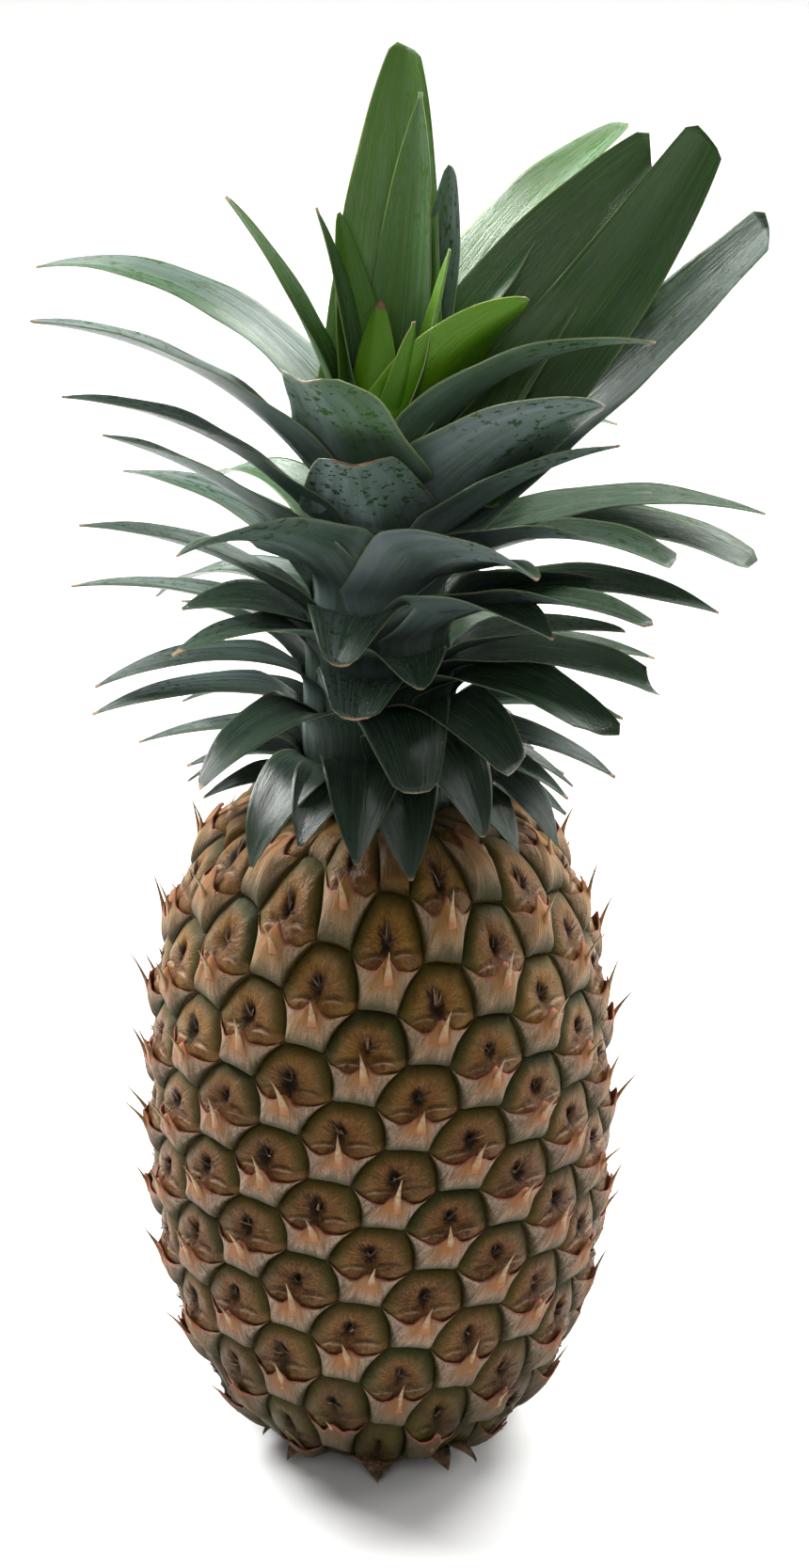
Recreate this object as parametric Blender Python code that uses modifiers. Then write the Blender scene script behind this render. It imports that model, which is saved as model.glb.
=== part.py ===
"""A fresh pineapple with its crown, standing upright on its cut base.

Metres, +Z up. The origin is the middle of the base. The front of the fruit faces -Y and its right
side +X. Angles round the axis start at the front and grow to the right, in degrees.

Three pieces: the fruit with its eyes, bracts and spines grown as one rind, the crown with its leaves
grown from one short stem, and the cut stalk that stands in a plain recess under the fruit.
"""
import math
import random

import bmesh
import bpy
from mathutils import Vector
from mathutils.geometry import delaunay_2d_cdt

MM = 0.001

# Fruit: a barrel, rounder below than at the shoulder
FRUIT_HEIGHT = 0.1925
FRUIT_RADIUS = 0.0605
WIDEST_AT = 0.098
BELOW_REACH, BELOW_POWER = 0.1015, 2.35
ABOVE_REACH, ABOVE_POWER = 0.1005, 2.65
RING_SIDES = 24

# Eyes: one after another by close to the golden angle, a little further apart at both ends of the fruit
EYE_TURN = 137.43
FIRST_EYE_ANGLE = 3.9
FIRST_EYE_HEIGHT = 0.1036
EYE_RISE = 0.00107
END_STRETCH = 0.0036
STRETCH_EYES = 50.0
ROW_LEAN = 0.053
EYES_BELOW, EYES_ABOVE = 82, 77
END_FADE = 0.014
SEAM = -177.7

# One eye, each point in mm: to the right, up, and how far it stands out of the groove
PLATE = [(0.0, 3.9, 3.2), (7.6, 1.8, 2.5), (6.0, 7.0, 2.2), (-0.6, 8.5, 2.2), (-5.6, 3.9, 2.5)]
BRACT = [(-6.2, -1.2, 3.5), (6.2, -3.0, 3.5), (-0.6, -7.6, 2.6)]
SPINE_ROOT = [(-1.4, -3.2, 4.0), (1.6, -3.2, 4.0), (0.1, -0.8, 3.4)]
GROOVE = [(9.9, 10.5, 0.0), (-1.7, 12.4, 0.0), (10.7, 4.4, 0.3), (-6.6, 7.1, 0.3), (4.1, 11.4, 0.3)]
SPINE_OUT, SPINE_UP = 0.0050, 0.0055
SPINES_FROM, SPINES_TO = 0.012, 0.176

# Recess and stalk under the fruit
RECESS_RADIUS, RECESS_DEPTH = 0.0130, 0.0060
GAP = 0.0003
STALK_RADIUS, STALK_HEIGHT = 0.0125, 0.0056
STALK_ROUNDING = 0.0008

# Crown: a short stem, and leaves whose roots are sunk in it
STEM_FOOT = FRUIT_HEIGHT + GAP
STEM_OUTLINE = [(0.0200, 0.0), (0.0205, 0.020), (0.0175, 0.055), (0.0120, 0.088), (0.0060, 0.107)]
STEM_SIDES = 16
ROOT_REACH = 0.007
BLADE_THICKNESS = 0.0009
FEWEST_ROWS = 3
ROW_MORE_OVER = (76, 100)
ROOT_CHANNEL, TIP_CHANNEL = 0.50, 0.28
TIP_WIDTH = 0.0012
ROOT_NARROWING, BROAD_FROM = 0.62, 0.33
MERGE = 0.000002

# Leaves: angle round the stem, root height and length in mm, rise at the root, how far the blade turns
# down, how far its upper face is rolled to the front, its width in mm, and how much of it a cut tip keeps
LEAVES = [
    # upright heart
    (168, 293, 106, 82, 16, 0, 32, 0.30), (148, 296, 92, 79, -4, 0, 20, 0.0),
    (126, 294, 76, 68, -18, 20, 17, 0.2), (64, 296, 58, 72, -8, 30, 16, 0.0),
    (-19, 298, 38, 96, -14, 0, 14, 0.1), (32, 300, 36, 74, 4, 0, 9, 0.0),
    (-111, 292, 68, 92, 22, 0, 14, 0.0), (-142, 290, 66, 88, 14, 0, 18, 0.1),
    (-98, 290, 80, 78, 26, 0, 16, 0.1),
    # long right-hand leaves, most with a cut tip
    (129, 286, 117, 71, 50, 10, 31, 0.18), (111, 281, 113, 61, 20, 50, 35, 0.36),
    (98, 273, 132, 43, -18, 60, 30, 0.50), (93, 262, 133, 41, -5, 35, 26, 0.6),
    (116, 284, 84, 46, 40, 0, 15, 0.1), (107, 288, 56, 50, 8, 20, 14, 0.2),
    (71, 285, 88, 65, 62, -20, 28, 0.0), (66, 288, 66, 79, 46, -35, 30, 0.1),
    (88, 254, 103, 40, 54, 0, 24, 0.0), (61, 256, 84, 56, 36, -10, 26, 0.0),
    (84, 249, 101, 47, 76, 0, 28, 0.6), (56, 250, 95, 52, 66, -12, 31, 0.55),
    (74, 238, 93, 41, 58, 0, 25, 0.0), (52, 236, 89, 46, 54, -15, 30, 0.3),
    (66, 229, 70, 38, 36, 0, 21, 0.1), (61, 226, 80, 37, 52, 0, 26, 0.55),
    (48, 224, 76, 38, 62, 0, 26, 0.55), (78, 216, 62, 26, 42, 0, 19, 0.0),
    (74, 210, 62, 24, 56, 0, 16, 0.0), (60, 207, 54, 26, 58, 0, 15, 0.0),
    (100, 222, 72, 30, 50, 0, 18, 0.0), (70, 246, 62, 58, 50, -10, 32, 0.0),
    (68, 221, 52, 44, 56, 0, 27, 0.0),
    # long left-hand leaves
    (-113, 284, 115, 69, 84, 0, 22, 0.0), (-69, 269, 118, 66, 54, 0, 26, 0.1),
    (-62, 259, 110, 61, 48, 0, 21, 0.0), (-58, 251, 100, 54, 30, 0, 25, 0.0),
    (-118, 246, 80, 46, 50, 0, 20, 0.0), (-71, 236, 91, 52, 42, 0, 22, 0.0),
    (-81, 230, 84, 45, 48, 0, 16, 0.0), (-120, 225, 58, 30, 34, 0, 15, 0.0),
    (-45, 233, 75, 45, 54, 0, 18, 0.0), (-70, 223, 78, 40, 60, 0, 16, 0.0),
    (-65, 215, 81, 37, 50, 0, 17, 0.0), (-104, 218, 50, 22, 50, 0, 12, 0.0),
    (-36, 212, 79, 46, 76, 0, 22, 0.1), (-96, 209, 60, 14, 34, 0, 14, 0.0),
    (-85, 206, 46, 12, 30, 0, 14, 0.0), (-62, 233, 60, 54, 56, 10, 28, 0.0),
    # broad leaves at the front, seen from their outer face
    (-20, 256, 92, 84, 54, 0, 39, 0.55), (-9, 246, 66, 82, 42, 0, 40, 0.55),
    (56, 254, 94, 70, 48, -40, 38, 0.1), (-46, 241, 84, 72, 80, -25, 36, 0.0),
    (34, 244, 80, 62, 68, -25, 36, 0.1), (-11, 235, 56, 76, 112, 0, 30, 0.3),
    (-8, 226, 42, 56, 90, 0, 27, 0.5), (41, 238, 70, 52, 66, -12, 33, 0.0),
    (10, 218, 58, 48, 96, 0, 29, 0.45), (14, 231, 42, 56, 80, -10, 27, 0.2),
    (33, 219, 62, 37, 66, 0, 26, 0.45), (26, 215, 63, 34, 88, 0, 25, 0.1),
    (-6, 209, 56, 30, 88, 0, 24, 0.0), (9, 206, 56, 26, 84, 0, 24, 0.0),
    (-38, 206, 58, 34, 104, 0, 22, 0.0), (57, 208, 58, 25, 86, 0, 21, 0.0),
    (-23, 206, 50, 26, 70, 0, 22, 0.0), (42, 206, 54, 24, 76, 0, 20, 0.0),
]

# Leaves at the back: the same spiral carried on by rule, where the list above has none
GOLDEN_ANGLE = 137.508
BACK_LEAVES = 46
BACK_FROM = 124.0
BACK_LOWEST, BACK_HIGHEST = 206.0, 276.0

# Skirt: short leaves that droop over the shoulder, all round except where the list has its own
SKIRT_LEAVES = 22
SKIRT_FROM = 70.0
SKIRT_LOWEST, SKIRT_HIGHEST = 199.5, 208.0
RULE_SEED = 41

COLOURS = {
    "fruit": ((0.30, 0.17, 0.06), 0.55),
    "crown": ((0.06, 0.13, 0.06), 0.45),
    "stalk": ((0.42, 0.30, 0.16), 0.80),
}


def make_material(name):
    colour, roughness = COLOURS[name]
    material = bpy.data.materials.new(name)
    material.use_nodes = True
    surface = material.node_tree.nodes["Principled BSDF"]
    surface.inputs["Base Color"].default_value = (*colour, 1.0)
    surface.inputs["Roughness"].default_value = roughness
    surface.inputs["Metallic"].default_value = 0.0
    return material


def add_piece(name, mesh, collection):
    piece = bpy.data.objects.new(name, mesh)
    mesh.materials.clear()
    mesh.materials.append(make_material(name))
    mesh.shade_smooth()
    mesh.set_sharp_from_angle(angle=math.radians(30))
    collection.objects.link(piece)
    return piece


def outward(angle):
    """The level direction away from the axis at an angle from the front."""
    turn = math.radians(angle)
    return Vector((math.sin(turn), -math.cos(turn), 0.0))


def barrel_radius(height):
    """How far the rind's grooves lie from the axis."""
    if height < WIDEST_AT:
        part, power = (WIDEST_AT - height) / BELOW_REACH, BELOW_POWER
    else:
        part, power = (height - WIDEST_AT) / ABOVE_REACH, ABOVE_POWER
    return FRUIT_RADIUS * (1.0 - part ** power) ** (1.0 / power)


def barrel_lengths(steps=400):
    """The way along the rind from the base to each of many heights, for spreading it flat."""
    heights = [FRUIT_HEIGHT * i / steps for i in range(steps + 1)]
    lengths = [0.0]
    for low, high in zip(heights, heights[1:]):
        lengths.append(lengths[-1] + math.hypot(high - low, barrel_radius(high) - barrel_radius(low)))
    return lengths


def along_barrel(height, lengths):
    place = min(max(height / FRUIT_HEIGHT, 0.0), 1.0) * (len(lengths) - 1)
    low = min(int(place), len(lengths) - 2)
    return lengths[low] + (lengths[low + 1] - lengths[low]) * (place - low)


def barrel_normal(height):
    """The outward slope of the rind: its part away from the axis and its part upward."""
    step = 0.0005
    low, high = max(height - step, 0.0), min(height + step, FRUIT_HEIGHT)
    slope = (barrel_radius(high) - barrel_radius(low)) / (high - low)
    size = math.hypot(1.0, slope)
    return 1.0 / size, -slope / size


def eye_place(index):
    """Angle, height and upward stretch of one eye."""
    ends = index / STRETCH_EYES
    angle = FIRST_EYE_ANGLE + EYE_TURN * index
    height = FIRST_EYE_HEIGHT + EYE_RISE * index + END_STRETCH * ends ** 3
    stretch = 1.0 + 3.0 * END_STRETCH * ends ** 2 / (STRETCH_EYES * EYE_RISE)
    height += ROW_LEAN * FRUIT_RADIUS * math.sin(math.radians(angle))
    return angle, height, stretch


def end_fade(height):
    """1 over most of the fruit, down to 0 where the rind meets the base and the stem."""
    room = min(height, FRUIT_HEIGHT - height) / END_FADE
    return min(max(room, 0.0), 1.0)


def rind_point(angle, height, stand, out=0.0, up=0.0):
    level, rise = barrel_normal(height)
    reach = barrel_radius(height) + stand * level + out
    return outward(angle) * reach + Vector((0.0, 0.0, height + stand * rise + up))


def eye_points(index):
    """The points of one eye as (angle, height, place), without those past the ends of the fruit."""
    angle, height, stretch = eye_place(index)

    def point(right, up, stand, out=0.0, lift=0.0):
        at_angle = angle + math.degrees(right * MM / FRUIT_RADIUS)
        at_height = height + (up + right * ROW_LEAN) * MM * stretch
        if not 0.004 < at_height < FRUIT_HEIGHT - 0.0025:
            return None
        stand = stand * MM * end_fade(at_height)
        return at_angle, at_height, rind_point(at_angle, at_height, stand, out, lift)

    points = [point(*row) for row in PLATE + BRACT + GROOVE]
    if SPINES_FROM < height < SPINES_TO:
        points += [point(*row) for row in SPINE_ROOT]
        middle = [sum(column) / len(SPINE_ROOT) for column in zip(*SPINE_ROOT)]
        points.append(point(*middle, SPINE_OUT, SPINE_UP))
    else:
        points.append(point(0.1, -2.6, 3.6))
    return [found for found in points if found]


def ring_points(height):
    step = 360.0 / RING_SIDES
    return [(i * step, height, rind_point(i * step, height, 0.0)) for i in range(RING_SIDES)]


def rind_faces(points):
    """Joins the rind's points as the nearest triangles of the rind spread flat, round the whole fruit."""
    lengths = barrel_lengths()
    flat, owner = [], []
    for turn in (-360.0, 0.0, 360.0):
        for i, (angle, height, _) in enumerate(points):
            wrapped = (angle + 180.0) % 360.0 - 180.0 + turn
            if -230.0 < wrapped < 230.0:
                flat.append(Vector((math.radians(wrapped) * FRUIT_RADIUS, along_barrel(height, lengths))))
                owner.append(i)
    joined = delaunay_2d_cdt(flat, [], [], 0, 1e-7)
    places, triangles = joined[0], joined[2]
    seam = math.radians(SEAM) * FRUIT_RADIUS
    turn = math.tau * FRUIT_RADIUS
    faces = []
    for triangle in triangles:
        if seam <= sum(places[i].x for i in triangle) / 3.0 < seam + turn:
            faces.append(tuple(owner[joined[3][i][0]] for i in triangle))
    return faces


def make_fruit(collection):
    """The rind joined from its eyes, closed by a flat top and by a flat foot with a plain recess."""
    points = ring_points(0.0) + ring_points(FRUIT_HEIGHT)
    for index in range(-EYES_BELOW, EYES_ABOVE + 1):
        points += eye_points(index)
    shape = bmesh.new()
    verts = [shape.verts.new(place) for _, _, place in points]
    for face in rind_faces(points):
        shape.faces.new([verts[i] for i in face])
    foot = verts[:RING_SIDES]
    top = verts[RING_SIDES:2 * RING_SIDES]
    rings = [foot]
    for height in (0.0, RECESS_DEPTH):
        level = Vector((0.0, 0.0, height))
        rings.append([shape.verts.new(v.co.xy.normalized().to_3d() * RECESS_RADIUS + level) for v in foot])
    ceiling = shape.verts.new((0.0, 0.0, RECESS_DEPTH))
    crest = shape.verts.new((0.0, 0.0, FRUIT_HEIGHT))
    for i in range(RING_SIDES):
        j = (i + 1) % RING_SIDES
        for outer, inner in zip(rings, rings[1:]):
            shape.faces.new((outer[i], inner[i], inner[j]))
            shape.faces.new((outer[i], inner[j], outer[j]))
        shape.faces.new((rings[-1][i], ceiling, rings[-1][j]))
        shape.faces.new((top[i], top[j], crest))
    bmesh.ops.recalc_face_normals(shape, faces=shape.faces)
    mesh = bpy.data.meshes.new("fruit")
    shape.to_mesh(mesh)
    shape.free()
    return add_piece("fruit", mesh, collection)


def make_stalk(collection):
    """The cut end of the stalk, level with the foot and clear of the recess."""
    bpy.ops.mesh.primitive_cylinder_add(vertices=RING_SIDES, radius=STALK_RADIUS, depth=STALK_HEIGHT)
    disc = bpy.context.object
    mesh = disc.data
    for collection_used in disc.users_collection:
        collection_used.objects.unlink(disc)
    bpy.data.objects.remove(disc)
    stalk = add_piece("stalk", mesh, collection)
    stalk.location.z = STALK_HEIGHT / 2.0
    bevel = stalk.modifiers.new("worn edge", "BEVEL")
    bevel.width = STALK_ROUNDING
    bevel.segments = 1
    return stalk


def blade_width(part, width, cut):
    """The width of a blade at a part of its length: narrower in the stem, pointed or cut at the tip."""
    pointed = max(1.0 - part ** 2.6, 0.0) ** 0.9
    blunt = 1.0 - 0.25 * part
    rooted = ROOT_NARROWING + (1.0 - ROOT_NARROWING) * min(part / BROAD_FROM, 1.0)
    return max(width * rooted * ((1.0 - cut) * pointed + cut * blunt), TIP_WIDTH)


def make_blade(name, leaf, collection):
    """One leaf: an arched, channelled blade given its thickness, rooted inside the stem."""
    angle, root, length, rise, bend, roll, width, cut = leaf
    rows = FEWEST_ROWS + sum(length > limit for limit in ROW_MORE_OVER)
    away = outward(angle)
    level = Vector((-away.y, away.x, 0.0))
    turn = math.radians(roll) * (1.0 if away.x < 0.0 else -1.0)
    spots, here = [], away * ROOT_REACH + Vector((0.0, 0.0, root * MM))
    fine = 12
    for i in range(rows * fine + 1):
        climb = math.radians(rise - bend * i / (rows * fine))
        ahead = away * math.cos(climb) + Vector((0.0, 0.0, math.sin(climb)))
        if i % fine == 0:
            above = ahead.cross(level)
            side = level * math.cos(turn) - above * math.sin(turn)
            spots.append((here.copy(), side, ahead.cross(side)))
        here += ahead * (length * MM / (rows * fine))
    shape = bmesh.new()
    bmesh.ops.create_grid(shape, x_segments=2, y_segments=rows, size=1.0)
    for vert in shape.verts:
        across = vert.co.x
        row = round((vert.co.y + 1.0) / 2.0 * rows)
        middle, side, above = spots[row]
        half = blade_width(row / rows, width * MM, cut) / 2.0
        channel = ROOT_CHANNEL + (TIP_CHANNEL - ROOT_CHANNEL) * min(2.0 * row / rows, 1.0)
        vert.co = middle + side * across * half + above * abs(across) * half * channel
    bmesh.ops.triangulate(shape, faces=shape.faces, quad_method="FIXED")
    mesh = bpy.data.meshes.new(name)
    shape.to_mesh(mesh)
    shape.free()
    blade = bpy.data.objects.new(name, mesh)
    collection.objects.link(blade)
    thick = blade.modifiers.new("thickness", "SOLIDIFY")
    thick.thickness = BLADE_THICKNESS
    thick.offset = 0.0
    return blade


def rule_leaves():
    """Leaves by the golden angle: at the back steeper and longer the higher they grow, then the skirt."""
    draw = random.Random(RULE_SEED)
    leaves = []
    for i in range(BACK_LEAVES):
        angle = (GOLDEN_ANGLE * i) % 360.0
        part = i / (BACK_LEAVES - 1)
        if not BACK_FROM < angle < 360.0 - BACK_FROM:
            continue
        root = BACK_LOWEST + (BACK_HIGHEST - BACK_LOWEST) * part
        rise = 22.0 + 34.0 * part + draw.uniform(-5, 5)
        length = 58.0 + 34.0 * part + draw.uniform(-8, 8)
        bend = 76.0 - 8.0 * part + draw.uniform(-8, 8)
        width = 17.0 + 4.0 * part + draw.uniform(-1.5, 1.5)
        leaves.append((angle, root, length, rise, bend, 0.0, width, draw.choice((0.0, 0.0, 0.0, 0.35))))
    for i in range(SKIRT_LEAVES):
        angle = (GOLDEN_ANGLE * i) % 360.0
        part = i / (SKIRT_LEAVES - 1)
        if SKIRT_FROM < angle < 360.0 - SKIRT_FROM:
            root = SKIRT_LOWEST + (SKIRT_HIGHEST - SKIRT_LOWEST) * part
            length = 42.0 + 10.0 * part + draw.uniform(-3, 3)
            leaves.append((angle, root, length, 12.0, 40.0 + 16.0 * part, 0.0, 15.0, 0.0))
    return leaves


def make_stem(collection):
    """The short stem that the leaves grow from, turned from its outline."""
    shape = bmesh.new()
    outline = [Vector((reach, 0.0, STEM_FOOT + height)) for reach, height in STEM_OUTLINE]
    outline = [Vector((0.0, 0.0, outline[-1].z))] + outline[::-1] + [Vector((0.0, 0.0, STEM_FOOT))]
    verts = [shape.verts.new(place) for place in outline]
    for start, end in zip(verts, verts[1:]):
        shape.edges.new((start, end))
    mesh = bpy.data.meshes.new("crown")
    shape.to_mesh(mesh)
    shape.free()
    stem = bpy.data.objects.new("crown", mesh)
    collection.objects.link(stem)
    turn = stem.modifiers.new("turned", "SCREW")
    turn.steps = STEM_SIDES
    turn.render_steps = STEM_SIDES
    turn.use_merge_vertices = True
    turn.merge_threshold = 0.00001
    return stem


def drop_flaps(shape):
    """Deletes slivers that splitting faces leaves as two triangles back to back on the same corners."""
    first, doubled = {}, []
    for face in shape.faces:
        corners = frozenset(face.verts)
        if corners in first:
            doubled += [face, first[corners]]
        first[corners] = face
    bmesh.ops.delete(shape, geom=doubled, context="FACES")


def keep_outer_body(shape):
    """Drops the shells of hollows that fusing sealed, and loose scraps: only the largest body stays."""
    shape.verts.ensure_lookup_table()
    seen, bodies = set(), []
    for start in shape.verts:
        if start in seen:
            continue
        body, stack = [], [start]
        seen.add(start)
        while stack:
            vert = stack.pop()
            body.append(vert)
            for edge in vert.link_edges:
                other = edge.other_vert(vert)
                if other not in seen:
                    seen.add(other)
                    stack.append(other)
        bodies.append(body)
    bodies.sort(key=len)
    for body in bodies[:-1]:
        bmesh.ops.delete(shape, geom=body, context="VERTS")


def make_crown(collection, blades):
    """Stem and leaves joined in one body."""
    stem = make_stem(collection)
    for number, leaf in enumerate(LEAVES + rule_leaves()):
        make_blade(f"blade_{number}", leaf, blades)
    union = stem.modifiers.new("grown together", "BOOLEAN")
    union.operation = "UNION"
    union.operand_type = "COLLECTION"
    union.collection = blades
    union.solver = "MANIFOLD"
    whole = stem.evaluated_get(bpy.context.evaluated_depsgraph_get())
    mesh = bpy.data.meshes.new_from_object(whole)
    bpy.data.objects.remove(stem)
    for blade in list(blades.objects):
        bpy.data.objects.remove(blade)
    shape = bmesh.new()
    shape.from_mesh(mesh)
    bmesh.ops.remove_doubles(shape, verts=shape.verts, dist=MERGE)
    bmesh.ops.triangulate(shape, faces=shape.faces)
    drop_flaps(shape)
    keep_outer_body(shape)
    shape.to_mesh(mesh)
    shape.free()
    mesh.name = "crown"
    return add_piece("crown", mesh, collection)


def build():
    for old in list(bpy.data.objects):
        bpy.data.objects.remove(old)
    pineapple = bpy.data.collections.new("pineapple")
    blades = bpy.data.collections.new("blades")
    bpy.context.scene.collection.children.link(pineapple)
    bpy.context.scene.collection.children.link(blades)
    make_fruit(pineapple)
    make_stalk(pineapple)
    make_crown(pineapple, blades)


build()
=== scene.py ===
"""A fresh pineapple with its crown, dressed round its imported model.

Metres, +Z up, the front of the fruit faces -Y. Angles round the axis start at the front and grow to
the right, in degrees.
"""
import math
import random

import bpy
import numpy as np
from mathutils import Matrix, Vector


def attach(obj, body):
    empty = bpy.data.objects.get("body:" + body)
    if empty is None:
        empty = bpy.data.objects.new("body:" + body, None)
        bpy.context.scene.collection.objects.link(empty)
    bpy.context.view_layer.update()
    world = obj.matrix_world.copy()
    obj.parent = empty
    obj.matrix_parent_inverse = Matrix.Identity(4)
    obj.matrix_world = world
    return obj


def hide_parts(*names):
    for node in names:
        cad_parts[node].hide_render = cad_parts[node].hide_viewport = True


MM = 0.001

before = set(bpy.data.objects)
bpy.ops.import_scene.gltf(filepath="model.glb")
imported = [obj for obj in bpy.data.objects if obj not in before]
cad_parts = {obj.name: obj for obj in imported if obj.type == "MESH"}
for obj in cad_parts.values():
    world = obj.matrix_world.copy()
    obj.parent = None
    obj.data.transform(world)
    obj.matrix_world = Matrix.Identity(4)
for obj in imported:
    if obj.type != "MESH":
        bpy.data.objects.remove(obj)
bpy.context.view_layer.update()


# The camera stands 1.5 m in front of the fruit and about 0.4 m above its crown, and looks down
# through a long lens.
camera_data = bpy.data.cameras.new("camera")
camera_data.sensor_fit = "VERTICAL"
camera_data.sensor_height = 24.0
camera_data.lens = 91.13
camera = bpy.data.objects.new("camera", camera_data)
camera.location = (0.007, -1.5, 0.83)
camera.rotation_euler = (math.radians(90.0 - 22.9), 0.0, 0.0)
bpy.context.scene.collection.objects.link(camera)
bpy.context.scene.camera = camera


# The material helper: a socket that can be added, multiplied and so on, and a way to add any node.
class Wire:
    """One socket of a material. Arithmetic on it adds Math nodes."""

    def __init__(self, tree, socket):
        self.tree = tree
        self.socket = socket

    def node(self, kind, settings=None, inputs=None, output=0):
        """Adds a node: its settings first, then the values or wires of its sockets."""
        made = self.tree.nodes.new(kind)
        for name, value in (settings or {}).items():
            setattr(made, name, value)
        for name, value in (inputs or {}).items():
            if isinstance(value, Wire):
                self.tree.links.new(value.socket, made.inputs[name])
            else:
                made.inputs[name].default_value = value
        return Wire(self.tree, made.outputs[output])

    def maths(self, operation, *values):
        return self.node("ShaderNodeMath", {"operation": operation}, dict(enumerate(values)))

    def __add__(self, other):
        return self.maths("ADD", self, other)

    def __radd__(self, other):
        return self.maths("ADD", other, self)

    def __sub__(self, other):
        return self.maths("SUBTRACT", self, other)

    def __rsub__(self, other):
        return self.maths("SUBTRACT", other, self)

    def __mul__(self, other):
        return self.maths("MULTIPLY", self, other)

    def __rmul__(self, other):
        return self.maths("MULTIPLY", other, self)

    def __truediv__(self, other):
        return self.maths("DIVIDE", self, other)

    def __abs__(self):
        return self.maths("ABSOLUTE", self)

    def __pow__(self, other):
        return self.maths("POWER", self, other)

    def step(self, low, high):
        """0 up to low, 1 from high on, and smooth between them."""
        ends = {"Value": self, "From Min": low, "From Max": high}
        return self.node("ShaderNodeMapRange", {"interpolation_type": "SMOOTHSTEP"}, ends)

    def fall(self, low, high):
        """1 up to low, 0 from high on, and smooth between them."""
        return 1.0 - self.step(low, high)

    def blend(self, first, second):
        """The first colour where this wire is 0 and the second where it is 1."""
        first, second = (c if isinstance(c, Wire) else (*c, 1.0) for c in (first, second))
        return self.node("ShaderNodeMix", {"data_type": "RGBA"}, {0: self, 6: first, 7: second}, 2)

    def painted(self, *layers):
        """This colour with others laid over it in turn: how much of each, then its colour."""
        colour = self
        for part, tint in layers:
            colour = part.blend(colour, tint)
        return colour

    def attribute(self, name, output="Fac"):
        return self.node("ShaderNodeAttribute", {"attribute_name": name}, {}, output)

    def noise(self, vector, scale, detail=3.0, rough=0.55):
        values = {"Vector": vector, "Scale": scale, "Detail": detail, "Roughness": rough}
        return self.node("ShaderNodeTexNoise", {}, values)

    def stretched(self, vector, factors):
        return self.node("ShaderNodeVectorMath", {"operation": "MULTIPLY"}, {0: vector, 1: factors})

    def place(self, x, y, z):
        return self.node("ShaderNodeCombineXYZ", {}, {"X": x, "Y": y, "Z": z})

    def solid_place(self):
        return self.node("ShaderNodeTexCoord", {}, {}, "Object")

    def flat_places(self):
        """The two coordinates that a piece carries over its surface."""
        flat = self.node("ShaderNodeUVMap", {"uv_map": "flat"})
        apart = self.node("ShaderNodeSeparateXYZ", {}, {"Vector": flat}).socket.node
        return Wire(self.tree, apart.outputs[0]), Wire(self.tree, apart.outputs[1])

    def bump(self, strength, distance, height):
        values = {"Strength": strength, "Distance": distance, "Height": height}
        return self.node("ShaderNodeBump", {}, values)


def start_finish(name):
    """A new material, and the wire of its surface shader, from which its nodes are added."""
    material = bpy.data.materials.new(name)
    material.use_nodes = True
    shader = material.node_tree.nodes["Principled BSDF"]
    return material, Wire(material.node_tree, shader.outputs[0])


def set_finish(material, values):
    """Sets or links the sockets of a material's surface shader."""
    shader = material.node_tree.nodes["Principled BSDF"]
    for name, value in values.items():
        if isinstance(value, Wire):
            material.node_tree.links.new(value.socket, shader.inputs[name])
        else:
            shader.inputs[name].default_value = value


# The setting: a plain flat pale floor, open to every side, and soft studio light, the strongest
# from above and behind on the left, with a weak one lower down behind on the right.
FLOOR_HALF = 12.0
floor_mesh = bpy.data.meshes.new("floor")
floor_signs = ((-1, -1), (1, -1), (1, 1), (-1, 1))
floor_corners = [(x * FLOOR_HALF, y * FLOOR_HALF, 0.0) for x, y in floor_signs]
floor_mesh.from_pydata(floor_corners, [], [(0, 1, 2, 3)])
floor = bpy.data.objects.new("floor", floor_mesh)
bpy.context.scene.collection.objects.link(floor)
floor_finish, paper = start_finish("floor_paper")
paper_grain = paper.noise(paper.solid_place(), 60.0)
set_finish(floor_finish, {
    "Base Color": paper_grain.blend((0.74, 0.74, 0.73), (0.78, 0.78, 0.77)),
    "Roughness": 0.9,
})
floor_mesh.materials.append(floor_finish)

LIT_POINT = Vector((0.0, 0.0, 0.18))
LIGHTS = [
    ("key_light", (-0.85, 0.60, 1.00), 0.7, 46.0),
    ("back_light", (0.70, 0.70, 1.20), 0.7, 34.0),
    ("front_light", (-0.10, -1.60, 1.10), 1.3, 8.0),
    ("right_light", (1.20, 0.55, 0.50), 0.8, 11.0),
]
for name, place, size, power in LIGHTS:
    lamp = bpy.data.lights.new(name, "AREA")
    lamp.shape = "DISK"
    lamp.size = size
    lamp.energy = power
    lamp_object = bpy.data.objects.new(name, lamp)
    lamp_object.location = place
    lamp_object.rotation_euler = (LIT_POINT - Vector(place)).to_track_quat("-Z", "Y").to_euler()
    lamp_object.visible_camera = False
    bpy.context.scene.collection.objects.link(lamp_object)
world = bpy.data.worlds.new("studio")
world.use_nodes = True
world.node_tree.nodes["Background"].inputs["Color"].default_value = (1.0, 1.0, 1.0, 1.0)
world.node_tree.nodes["Background"].inputs["Strength"].default_value = 0.17
bpy.context.scene.world = world
bpy.context.scene.view_settings.view_transform = "Standard"


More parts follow.
